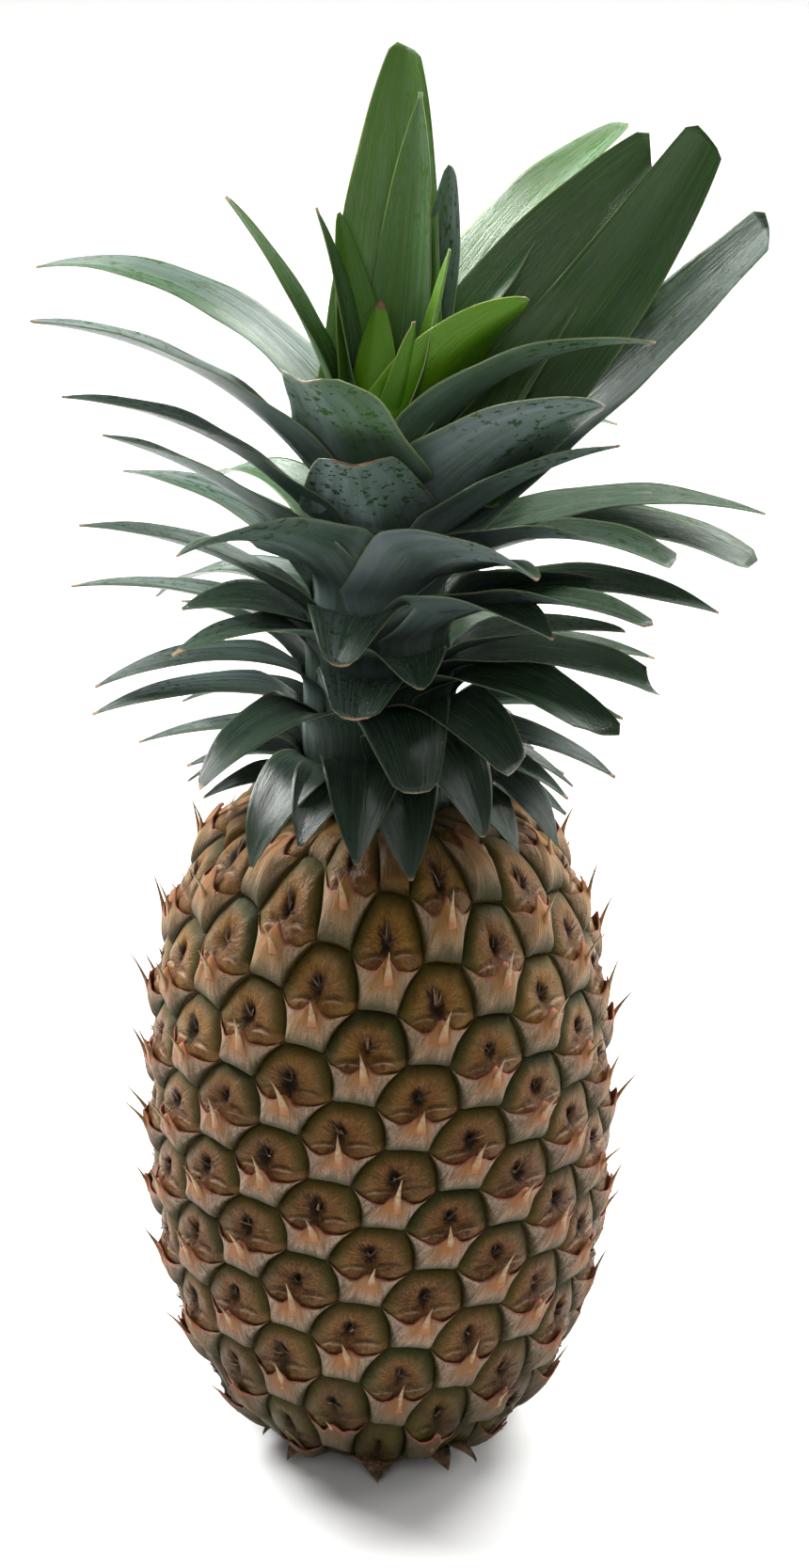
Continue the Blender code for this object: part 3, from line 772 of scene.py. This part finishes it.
def grow_wisps():
    """A few threads in nearly every pit."""
    draw = random.Random(23)
    places, faces, lengths, chances = [], [], [], []
    for index in eyes_between(WISPS_FROM, WISPS_TO):
        for _ in range(draw.randint(3, 5)):
            chance = draw.random()
            bearing = math.radians(draw.uniform(10.0, 150.0))
            length = draw.uniform(2.0, 4.6)
            start = (PIT[0] + draw.uniform(-0.7, 0.7), PIT[1] + draw.uniform(-0.6, 0.5))
            rise = draw.uniform(0.4, 1.3)
            flare = draw.uniform(-0.6, 0.6)
            half_root = draw.uniform(0.25, 0.55)
            first = len(places)
            for ring in range(WISP_RINGS + 1):
                part = ring / WISP_RINGS
                x = start[0] + math.cos(bearing) * length * part + flare * part ** 2
                y = start[1] + math.sin(bearing) * length * part
                stand = 1.2 + 1.6 * math.sin(part * 1.4) + rise * part
                half = half_root * (1.0 - 0.8 * part) + 0.05
                for j in range(WISP_SIDES):
                    turn = math.tau * j / WISP_SIDES
                    right = np.array([x + half * math.cos(turn) * math.sin(bearing)])
                    up = np.array([y - half * math.cos(turn) * math.cos(bearing)])
                    lifted = np.array([stand + half * 0.6 * math.sin(turn)])
                    places.append(rind_places(index, right, up, lifted)[0])
                    lengths.append(part)
                    chances.append(chance)
            faces += tube_wall(first, WISP_SIDES, WISP_RINGS)
            faces.append(tuple(len(places) - WISP_SIDES + j for j in range(WISP_SIDES)))
    return build_piece("wisps", places, faces, {"along": lengths, "chance": chances})


wisps = grow_wisps()
wisp_finish, thread = start_finish("wisp_thread")
along = thread.attribute("along")
chance = thread.attribute("chance")
grain = thread.noise(thread.solid_place(), 900.0)
wisp_colour = chance.step(0.5, 0.95).blend((0.022, 0.011, 0.006), (0.22, 0.125, 0.06))
wisp_colour = (grain.step(0.4, 0.7) * 0.5).blend(wisp_colour, (0.06, 0.030, 0.015))
set_finish(wisp_finish, {"Base Color": wisp_colour, "Roughness": 0.85})
wisps.data.materials.append(wisp_finish)
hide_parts("fruit")


# The cut stalk: the end of the stem that carried the fruit, dry and fibrous. It grew as one with
# the fruit and was cut off level with its foot.
stalk_finish, cut = start_finish("cut_stalk")
solid = cut.solid_place()
rings = cut.node(
    "ShaderNodeTexWave", {"wave_type": "RINGS", "rings_direction": "Z"},
    {"Vector": solid, "Scale": 260.0, "Distortion": 6.0, "Detail": 3.0}, 1,
)
fibres = cut.noise(solid, 1200.0, 3.0)
stalk_colour = rings.step(0.2, 0.8).blend((0.30, 0.20, 0.10), (0.50, 0.38, 0.22))
stalk_colour = (fibres.step(0.5, 0.7) * 0.5).blend(stalk_colour, (0.20, 0.13, 0.07))
bump = cut.bump(0.6, 0.0006, fibres + rings)
set_finish(stalk_finish, {"Base Color": stalk_colour, "Roughness": 0.85, "Normal": bump})
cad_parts["stalk"].data.materials.clear()
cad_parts["stalk"].data.materials.append(stalk_finish)


# The recess: the plain hollow in the foot of the fruit that the stalk stands in, lined with the
# flesh's torn fibres.
RECESS_RADIUS, RECESS_DEPTH, RECESS_SIDES = 0.0130, 0.0060, 64
ring_turns = np.linspace(0.0, math.tau, RECESS_SIDES, endpoint=False)
ring_points = [(math.sin(turn), -math.cos(turn)) for turn in ring_turns]
hollow = [(x * FOOT_HOLE, y * FOOT_HOLE, 0.0) for x, y in ring_points]
hollow += [(x * RECESS_RADIUS, y * RECESS_RADIUS, 0.0003) for x, y in ring_points]
hollow += [(x * RECESS_RADIUS, y * RECESS_RADIUS, RECESS_DEPTH) for x, y in ring_points]
hollow += [(0.0, 0.0, RECESS_DEPTH)]
hollow_faces = tube_wall(0, RECESS_SIDES, 2)
for i in range(RECESS_SIDES):
    j = (i + 1) % RECESS_SIDES
    hollow_faces.append((i + 2 * RECESS_SIDES, j + 2 * RECESS_SIDES, 3 * RECESS_SIDES))
recess = build_piece("recess", hollow, hollow_faces)
recess_finish, torn = start_finish("recess_fibre")
solid = torn.solid_place()
tear = torn.noise(torn.stretched(solid, (900.0, 900.0, 120.0)), 1.0)
set_finish(recess_finish, {
    "Base Color": tear.step(0.3, 0.7).blend((0.22, 0.14, 0.07), (0.42, 0.30, 0.15)),
    "Roughness": 0.85,
    "Normal": torn.bump(0.5, 0.0005, tear),
})
recess.data.materials.append(recess_finish)
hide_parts("fruit")


# The crown's stem: short and stout, dark green where the leaves clasp it. It grew out of the top of
# the fruit and carries every leaf of the crown.
STEM_FOOT = FRUIT_HEIGHT + 0.0003
STEM_OUTLINE = [(0.0200, 0.0), (0.0205, 0.020), (0.0175, 0.055), (0.0120, 0.088), (0.0060, 0.104)]
STEM_SIDES, STEM_ROWS = 64, 40
stem_places = []
stem_rows = np.linspace(0.0, STEM_OUTLINE[-1][1], STEM_ROWS)
for rise in stem_rows:
    around = np.interp(rise, [h for _, h in STEM_OUTLINE], [r for r, _ in STEM_OUTLINE])
    for i in range(STEM_SIDES):
        turn = math.tau * i / STEM_SIDES
        stem_places.append((math.sin(turn) * around, -math.cos(turn) * around, STEM_FOOT + rise))
stem_places += [(0.0, 0.0, STEM_FOOT), (0.0, 0.0, STEM_FOOT + stem_rows[-1])]
stem_faces = tube_wall(0, STEM_SIDES, STEM_ROWS - 1)
last = (STEM_ROWS - 1) * STEM_SIDES
for i in range(STEM_SIDES):
    j = (i + 1) % STEM_SIDES
    stem_faces += [(j, i, len(stem_places) - 2), (last + i, last + j, len(stem_places) - 1)]
stem = build_piece("stem", stem_places, stem_faces)
stem_finish, pith = start_finish("stem_pith")
solid = pith.solid_place()
stripes = pith.noise(pith.stretched(solid, (500.0, 500.0, 60.0)), 1.0)
set_finish(stem_finish, {
    "Base Color": stripes.step(0.3, 0.7).blend((0.020, 0.030, 0.014), (0.06, 0.085, 0.035)),
    "Roughness": 0.6,
    "Normal": pith.bump(0.5, 0.0005, stripes),
})
stem.data.materials.append(stem_finish)
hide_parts("crown")


# The leaves: tough, channelled blades of firm green tissue under a skin with a grey waxy bloom,
# heavier on their outer face. Their pale grey is partly painted sheen, strongest on one half of
# each blade and on the leaves that catch the light. Each clasps the stem with a broad base; many
# tips have dried or been trimmed.
# Each row: angle round the stem, root height and length in mm, rise at the root, how far the blade
# turns down, how far its upper face is rolled to the front, its width in mm, how much of it a cut
# tip keeps, its tone from blue-green to yellow-green, its waxy bloom together with painted sheen,
# and how much of its tip is dry.
ROOT_REACH = 0.007
ROOT_CHANNEL, TIP_CHANNEL = 0.50, 0.28
TIP_WIDTH = 0.0012
SHEATH_LENGTH, SHEATH_FOOT_OUT, SHEATH_OUT, SHEATH_STEP = 0.018, 0.0002, 0.0012, 0.002
ROW_LENGTH, LEAST_ROWS, BEND_PASSES = 1.9, 24, 8
HEART_LEAVES = [
    (168, 293, 106, 82, 16, 0, 32, 0.3, 0.72, 0.4, 0),
    (148, 296, 92, 79, -4, 0, 20, 0, 0.66, 0.75, 0),
    (126, 294, 76, 68, -18, 20, 17, 0.2, 0.45, 1.6, 0),
    (64, 296, 58, 72, -8, 30, 16, 0, 0.85, 0.3, 0),
    (-19, 298, 38, 96, -14, 0, 14, 0.1, 1, 0, 0.13),
    (32, 300, 36, 74, 4, 0, 9, 0, 0.95, 0.1, 0.03),
    (-111, 292, 68, 92, 22, 0, 14, 0, 0.55, 0.5, 0.05),
    (-142, 290, 66, 88, 14, 0, 18, 0.1, 0.7, 0.2, 0.02),
    (-98, 290, 80, 78, 26, 0, 16, 0.1, 0.55, 0.3, 0.03),
]
RIGHT_LEAVES = [
    (129, 286, 117, 71, 50, 0, 31, 0.18, 0.62, 1.15, 0),
    (111, 281, 113, 61, 20, 55, 35, 0.36, 0.48, 0, 0),
    (98, 273, 132, 43, -18, 65, 30, 0.5, 0.44, 0.04, 0),
    (93, 262, 133, 41, -5, 35, 26, 0.6, 0.35, 0.95, 0),
    (116, 284, 84, 46, 40, 0, 15, 0.1, 0.5, 0.4, 0.02),
    (107, 288, 56, 50, 8, 20, 14, 0.2, 0.65, 0.5, 0.03),
    (71, 285, 88, 65, 62, -20, 28, 0, 0.5, 0.4, 0.03),
    (66, 288, 66, 79, 46, -35, 30, 0.1, 1, 0, 0.01),
    (88, 254, 103, 40, 54, 0, 24, 0, 0.3, 0.6, 0.02),
    (61, 256, 84, 56, 36, -10, 26, 0, 0.35, 0.6, 0.04),
    (84, 249, 101, 47, 76, 0, 28, 0.6, 0.3, 0.5, 0),
    (56, 250, 95, 52, 66, -12, 31, 0.55, 0.25, 0.6, 0),
    (74, 238, 93, 41, 58, 0, 25, 0, 0.25, 0.5, 0.02),
    (52, 236, 89, 46, 54, -15, 30, 0.3, 0.25, 0.55, 0.01),
    (66, 229, 70, 38, 36, 0, 21, 0.1, 0.3, 0.7, 0.03),
    (61, 226, 80, 37, 52, 0, 26, 0.55, 0.2, 0.3, 0),
    (48, 224, 76, 38, 62, 0, 26, 0.55, 0.2, 0.2, 0),
    (78, 216, 62, 26, 42, 0, 19, 0, 0.2, 0.3, 0.02),
    (74, 210, 62, 24, 56, 0, 16, 0, 0.15, 0.3, 0.05),
    (60, 207, 54, 26, 58, 0, 15, 0, 0.15, 0.3, 0.05),
    (100, 222, 72, 30, 50, 0, 18, 0, 0.2, 0.35, 0.05),
    (78, 240, 58, 44, 44, -25, 32, 0, 0.22, 0.3, 0),
    (68, 221, 52, 44, 56, 0, 27, 0, 0.18, 0.2, 0),
]
LEFT_LEAVES = [
    (-113, 284, 115, 69, 84, 0, 22, 0, 0.4, 1.1, 0.02),
    (-69, 269, 118, 66, 54, 0, 26, 0.1, 0.35, 1.2, 0.02),
    (-62, 259, 110, 61, 48, 0, 21, 0, 0.2, 0.5, 0.02),
    (-58, 251, 100, 54, 30, 0, 25, 0, 0.3, 1.1, 0.02),
    (-118, 246, 80, 46, 50, 0, 20, 0, 0.25, 0.9, 0.02),
    (-71, 236, 91, 52, 42, 0, 22, 0, 0.25, 0.8, 0.02),
    (-81, 230, 84, 45, 48, 0, 16, 0, 0.25, 0.6, 0.05),
    (-120, 225, 58, 30, 34, 0, 15, 0, 0.2, 0.5, 0.05),
    (-45, 233, 75, 45, 54, 0, 18, 0, 0.3, 0.8, 0.08),
    (-70, 223, 78, 40, 60, 0, 16, 0, 0.2, 0.8, 0.04),
    (-65, 215, 81, 37, 50, 0, 17, 0, 0.2, 0.9, 0.04),
    (-104, 218, 50, 22, 50, 0, 12, 0, 0.2, 0.5, 0.06),
    (-36, 212, 79, 46, 76, 0, 22, 0.1, 0.15, 0.2, 0.03),
    (-96, 209, 60, 14, 34, 0, 14, 0, 0.2, 0.6, 0.05),
    (-85, 206, 46, 12, 30, 0, 14, 0, 0.2, 0.6, 0.05),
    (-62, 233, 60, 54, 56, 10, 28, 0, 0.2, 0.35, 0),
]
FRONT_LEAVES = [
    (-20, 256, 92, 84, 54, 0, 39, 0.55, 0.5, 0.75, 0.01),
    (-9, 246, 66, 82, 42, 0, 40, 0.55, 0.3, 0.85, 0.02),
    (56, 254, 94, 70, 48, -40, 38, 0.1, 0.34, 0.7, 0.01),
    (-46, 241, 84, 72, 80, -25, 36, 0, 0.3, 0.75, 0.03),
    (34, 244, 80, 62, 68, -25, 36, 0.1, 0.25, 0.75, 0.02),
    (-11, 235, 56, 76, 112, 0, 30, 0.3, 0.22, 0.8, 0.02),
    (-8, 226, 42, 56, 90, 0, 27, 0.5, 0.2, 0.7, 0.02),
    (41, 238, 70, 52, 66, -12, 33, 0, 0.2, 0.45, 0.02),
    (10, 218, 58, 48, 96, 0, 29, 0.45, 0.1, 0.1, 0.01),
    (14, 231, 42, 56, 80, -10, 27, 0.2, 0.18, 0.3, 0.01),
    (33, 219, 62, 37, 66, 0, 26, 0.45, 0.13, 0.1, 0.01),
    (26, 215, 63, 34, 88, 0, 25, 0.1, 0.1, 0.07, 0.01),
    (-6, 209, 56, 30, 88, 0, 24, 0, 0.1, 0.08, 0.01),
    (9, 206, 56, 26, 84, 0, 24, 0, 0.1, 0.06, 0.02),
    (-38, 206, 58, 34, 104, 0, 22, 0, 0.12, 0.12, 0.01),
    (57, 208, 58, 25, 86, 0, 21, 0, 0.1, 0.06, 0.01),
    (-23, 206, 50, 26, 70, 0, 22, 0, 0.1, 0.08, 0.02),
    (42, 206, 54, 24, 76, 0, 20, 0, 0.1, 0.06, 0.01),
]
GOLDEN_ANGLE = 137.508
BACK_COUNT, BACK_FROM, BACK_LOWEST, BACK_HIGHEST = 46, 124.0, 206.0, 276.0
SKIRT_COUNT, SKIRT_FROM, SKIRT_LOWEST, SKIRT_HIGHEST = 22, 70.0, 199.5, 208.0
BLADE_COLUMNS = 12


def rule_leaves():
    """Leaves by the golden angle: the back ones, longer the higher they grow, and the skirt."""
    draw = random.Random(41)
    looks = random.Random(5)
    back, skirt = [], []
    for i in range(BACK_COUNT):
        angle = (GOLDEN_ANGLE * i) % 360.0
        part = i / (BACK_COUNT - 1)
        if not BACK_FROM < angle < 360.0 - BACK_FROM:
            continue
        root = BACK_LOWEST + (BACK_HIGHEST - BACK_LOWEST) * part
        rise = 22.0 + 34.0 * part + draw.uniform(-5, 5)
        length = 58.0 + 34.0 * part + draw.uniform(-8, 8)
        bend = 76.0 - 8.0 * part + draw.uniform(-8, 8)
        width = 17.0 + 4.0 * part + draw.uniform(-1.5, 1.5)
        cut = draw.choice((0.0, 0.0, 0.0, 0.35))
        tone = 0.2 + 0.25 * part + looks.uniform(-0.08, 0.08)
        look = (tone, looks.uniform(0.3, 0.8), looks.uniform(0.0, 0.04))
        back.append((angle, root, length, rise, bend, 0.0, width, cut) + look)
    for i in range(SKIRT_COUNT):
        angle = (GOLDEN_ANGLE * i) % 360.0
        part = i / (SKIRT_COUNT - 1)
        if SKIRT_FROM < angle < 360.0 - SKIRT_FROM:
            root = SKIRT_LOWEST + (SKIRT_HIGHEST - SKIRT_LOWEST) * part
            length = 42.0 + 10.0 * part + draw.uniform(-3, 3)
            tone = 0.12 + looks.uniform(-0.04, 0.08)
            look = (tone, looks.uniform(0.05, 0.25), looks.uniform(0.0, 0.04))
            skirt.append((angle, root, length, 12.0, 40.0 + 16.0 * part, 0.0, 15.0, 0.0) + look)
    return back, skirt


def stem_radius(height):
    return np.interp(height - STEM_FOOT, [h for _, h in STEM_OUTLINE], [r for r, _ in STEM_OUTLINE])


def blade_rows(leaf, draw):
    """The points of one blade, on its upper face and on its lower face, and its look.

    It starts as a sheath that hugs the stem, and arches away where its midline leaves the stem.
    """
    angle, root, length, rise, bend, roll, width, cut, tone, bloom_and_sheen, dry = leaf
    rows = max(int(length / ROW_LENGTH), LEAST_ROWS)
    turn_round = math.radians(angle)
    away = np.array([math.sin(turn_round), -math.cos(turn_round), 0.0])
    level = np.array([-away[1], away[0], 0.0])
    part = np.linspace(0.0, 1.0, rows + 1)
    climb = np.radians(rise - bend * part)
    upright = np.array([0.0, 0.0, 1.0])
    ahead = away * np.cos(climb)[:, None] + upright * np.sin(climb)[:, None]
    steps = (ahead[1:] + ahead[:-1]) / 2.0 * length * MM / rows
    start = away * ROOT_REACH + upright * (root * MM)
    middle = start + np.concatenate([np.zeros((1, 3)), np.cumsum(steps, axis=0)])
    clear = np.hypot(middle[:, 0], middle[:, 1]) > stem_radius(middle[:, 2]) + SHEATH_OUT
    leaves_at = int(np.argmax(clear)) if clear.any() else 0
    middle, part = middle[leaves_at:], part[leaves_at:]
    top = middle[0][2]
    below = min(SHEATH_LENGTH, top - STEM_FOOT - 0.0004)
    if below > SHEATH_STEP:
        count = max(int(below / SHEATH_STEP), 2)
        grown = np.linspace(0.0, 1.0, count, endpoint=False)
        heights = top - below * (1.0 - grown)
        around = stem_radius(heights) + SHEATH_FOOT_OUT + (SHEATH_OUT - SHEATH_FOOT_OUT) * grown
        sheath = np.stack([away[0] * around, away[1] * around, heights], axis=1)
        middle = np.concatenate([sheath, middle])
        part = np.concatenate([part[0] - below / (length * MM) * (1.0 - grown), part])
    else:
        count = 0
    for _ in range(BEND_PASSES):
        inner = (middle[:-2] + middle[2:]) / 4.0 + middle[1:-1] / 2.0
        near = np.exp(-((np.arange(1, len(middle) - 1) - count) / 5.0) ** 2)[:, None]
        middle[1:-1] = middle[1:-1] * (1.0 - near) + inner * near
    ahead = np.gradient(middle, axis=0)
    ahead = ahead / np.linalg.norm(ahead, axis=1)[:, None]
    row = np.arange(len(middle))
    freed = np.clip((row - count) / 7.0, 0.0, 1.0)
    freed = freed * freed * (3.0 - 2.0 * freed)
    twist = math.radians(draw.uniform(-7.0, 7.0)) * np.clip(part, 0.0, 1.0)
    turn = math.radians(roll) * (1.0 if away[0] < 0.0 else -1.0) * freed + twist
    above = np.cross(ahead, level)
    side = level[None, :] * np.cos(turn)[:, None] - above * np.sin(turn)[:, None]
    above = np.cross(ahead, side)
    grown = np.clip(part, 0.0, 1.0)
    pointed = np.maximum(1.0 - grown ** 2.6, 0.0) ** 0.9
    blunt = (1.0 - 0.22 * grown) * np.minimum(1.0, (1.004 - grown) / 0.010) ** 0.5
    half = np.maximum(width * ((1.0 - cut) * pointed + cut * blunt), TIP_WIDTH / MM) / 2.0 * MM
    half = half * (1.0 + 0.30 * np.exp(-np.maximum(row - count, 0.0) / 6.0))
    half = half * (0.62 + 0.38 * np.clip(row / max(count, 1), 0.0, 1.0))
    channel = ROOT_CHANNEL + (TIP_CHANNEL - ROOT_CHANNEL) * np.minimum(2.0 * grown, 1.0)
    across = np.linspace(-1.0, 1.0, BLADE_COLUMNS + 1)
    across = 0.5 * across + 0.5 * np.sin(across * math.pi / 2.0)
    keel = np.sqrt(across ** 2 + 0.03) - math.sqrt(0.03)
    keel = keel / keel[-1]
    phases = [draw.uniform(0.0, 6.3) for _ in range(4)]
    waves = 0.035 * np.sin(grown * length / 9.0 + phases[0])[:, None] * np.abs(across)[None, :] ** 3
    waves = waves + 0.028 * np.sin(grown * length / 4.5 + phases[1])[:, None] * across[None, :] ** 3
    waves = waves + 0.020 * np.sin(grown * length / 14.0 + phases[2])[:, None] * across[None, :]
    lift = (channel[:, None] * keel[None, :] + waves) * half[:, None]
    slant = draw.uniform(-0.09, 0.09) * length * MM * cut
    shift = slant * across[None, :] * (grown ** 6)[:, None]
    centre = middle[:, None, :] + side[:, None, :] * (across[None, :] * half[:, None])[:, :, None]
    centre = centre + above[:, None, :] * lift[:, :, None] + ahead[:, None, :] * shift[:, :, None]
    around = np.hypot(middle[:, 0], middle[:, 1])
    wrap = turn_round + across[None, :] * half[:, None] / around[:, None]
    outer = np.stack([np.sin(wrap), -np.cos(wrap), np.zeros_like(wrap)], axis=-1)
    hugging = outer * around[:, None, None] + upright * middle[:, 2][:, None, None]
    free = freed[:, None, None]
    centre = hugging * (1.0 - free) + centre * free
    normal = -outer * (1.0 - free) + above[:, None, :] * free
    normal = normal / np.maximum(np.linalg.norm(normal, axis=2), 1e-6)[:, :, None]
    thick = (0.30 + 1.0 * (1.0 - across[None, :] ** 2) * (1.0 - 0.6 * grown[:, None])) * 0.5 * MM
    thick = thick * (0.5 + 0.5 * freed[:, None])
    upper = centre + normal * thick[:, :, None]
    lower = centre - normal * thick[:, :, None]
    return len(middle) - 1, across, part, upper, lower, (tone, bloom_and_sheen, dry, draw.random())


def grow_leaves(name, leaves, seed):
    """One group of leaves as one piece."""
    draw = random.Random(seed)
    places, faces, uvs, looks, unders = [], [], [], [], []
    for leaf in leaves:
        rows, across, part, upper, lower, look = blade_rows(leaf, draw)
        first = sum(len(block) for block in places)
        count = (rows + 1) * (BLADE_COLUMNS + 1)
        places += [upper.reshape(-1, 3), lower.reshape(-1, 3)]
        looks.append(np.tile(np.array(look), (2 * count, 1)))
        unders.append(np.concatenate([np.zeros(count), np.ones(count)]))
        for face in sheet_faces(first, rows, BLADE_COLUMNS):
            faces.append(tuple(number for number, _, _ in face))
            uvs += [(across[c], part[r]) for _, r, c in face]
    carried = {"look": np.concatenate(looks), "under": np.concatenate(unders)}
    piece = build_piece(name, np.concatenate(places), faces, carried, uvs)
    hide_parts("crown")
    return piece


leaf_finish, blade = start_finish("leaf_blade")
across, along = blade.flat_places()
solid = blade.solid_place()
look = blade.attribute("look", "Color")
looks = look.node("ShaderNodeSeparateColor", {}, {"Color": look}, 0).socket.node
tone, bloom_and_sheen, dry = (Wire(blade.tree, looks.outputs[i]) for i in range(3))
chance = blade.attribute("look", "Alpha")
under = blade.attribute("under")
vein_place = blade.place(across * 22.0, along * 1.3, chance * 60.0)
veins = blade.noise(vein_place, 2.0, 4.0, 0.6)
band_place = blade.place(across * 2.4, along * 0.9, chance * 90.0)
bands = blade.noise(band_place, 1.6, 2.0)
smear_place = blade.place(across * 3.0, along * 14.0, chance * 30.0)
smears = blade.noise(smear_place, 1.8, 5.0, 0.65)
stripe_place = blade.place(across * 9.0, along * 0.7, chance * 70.0)
stripes = blade.noise(stripe_place, 1.7, 3.0, 0.6).step(0.40, 0.62)
mottle = blade.noise(solid, 260.0, 4.0)
dark = tone.step(0.0, 0.45).blend((0.006, 0.013, 0.010), (0.019, 0.056, 0.012))
green = tone.step(0.35, 1.0).blend(dark, (0.115, 0.270, 0.010))
root_part = along.fall(-0.05, 0.26)
lighter = tone.blend((0.035, 0.060, 0.045), (0.15, 0.33, 0.012))
marks = 1.0 - smears.step(0.555, 0.60) * along.step(0.40, 0.75)
# The grey bloom, heavier on the outer face, together with painted sheen: its strength is set high
# on leaves that catch the light.
wax_and_sheen = bloom_and_sheen * (0.42 + 0.55 * under) * (0.60 + 0.55 * bands.step(0.3, 0.7))
wax_and_sheen = wax_and_sheen * (0.85 + mottle * 0.3) * marks
# Painted sheen: one half of each blade lighter, as where it catches the light.
sheen = (0.0 - across + (bands - 0.5) * 0.8).step(-0.20, 0.30)
striped = stripes + (0.55 - stripes) * under * 0.75
wax_and_sheen = wax_and_sheen * (1.0 - root_part * 0.55) * (0.58 + 0.58 * sheen) * (0.50 + 0.95 * striped)
shade = along.fall(-0.10, 0.16) * tone.fall(0.5, 0.8) * 0.85
margin = abs(across).step(0.962, 0.990)
margin_tint = tone.blend((0.14, 0.17, 0.08), (0.46, 0.48, 0.14))
dried = (along + (veins - 0.5) * 0.018 + (smears - 0.5) * 0.020 + dry * 0.6).step(0.999, 1.010)
brown = mottle.step(0.3, 0.7).blend((0.16, 0.085, 0.040), (0.42, 0.30, 0.17))
green = green.painted(
    (root_part * tone.step(0.25, 0.8) * 0.7, (0.13, 0.25, 0.014)),
    (veins.step(0.42, 0.66) * (0.50 - 0.25 * under), lighter),
    # the bloom's grey, with painted sheen
    (wax_and_sheen * 0.62, (0.29, 0.36, 0.385)),
    (shade, (0.006, 0.010, 0.006)),
    (margin * 0.45, margin_tint),
    (dried, brown),
)
relief = veins * 1.0 + mottle * 0.12 + bands * 0.6
bump = blade.bump(0.45, 0.0006, relief)
set_finish(leaf_finish, {
    "Base Color": green,
    "Roughness": 0.22 + 0.16 * wax_and_sheen.step(0.0, 1.0) + dried * 0.25 + veins * 0.08,
    "Normal": bump,
    "Specular IOR Level": 0.42,
})
back_leaves, skirt_leaves = rule_leaves()
for name, rows, seed in (
    ("heart_leaves", HEART_LEAVES, 101), ("right_leaves", RIGHT_LEAVES, 102),
    ("left_leaves", LEFT_LEAVES, 103), ("front_leaves", FRONT_LEAVES, 104),
    ("back_leaves", back_leaves, 105), ("skirt_leaves", skirt_leaves, 106),
):
    leaves = grow_leaves(name, rows, seed)
    leaves.data.materials.append(leaf_finish)
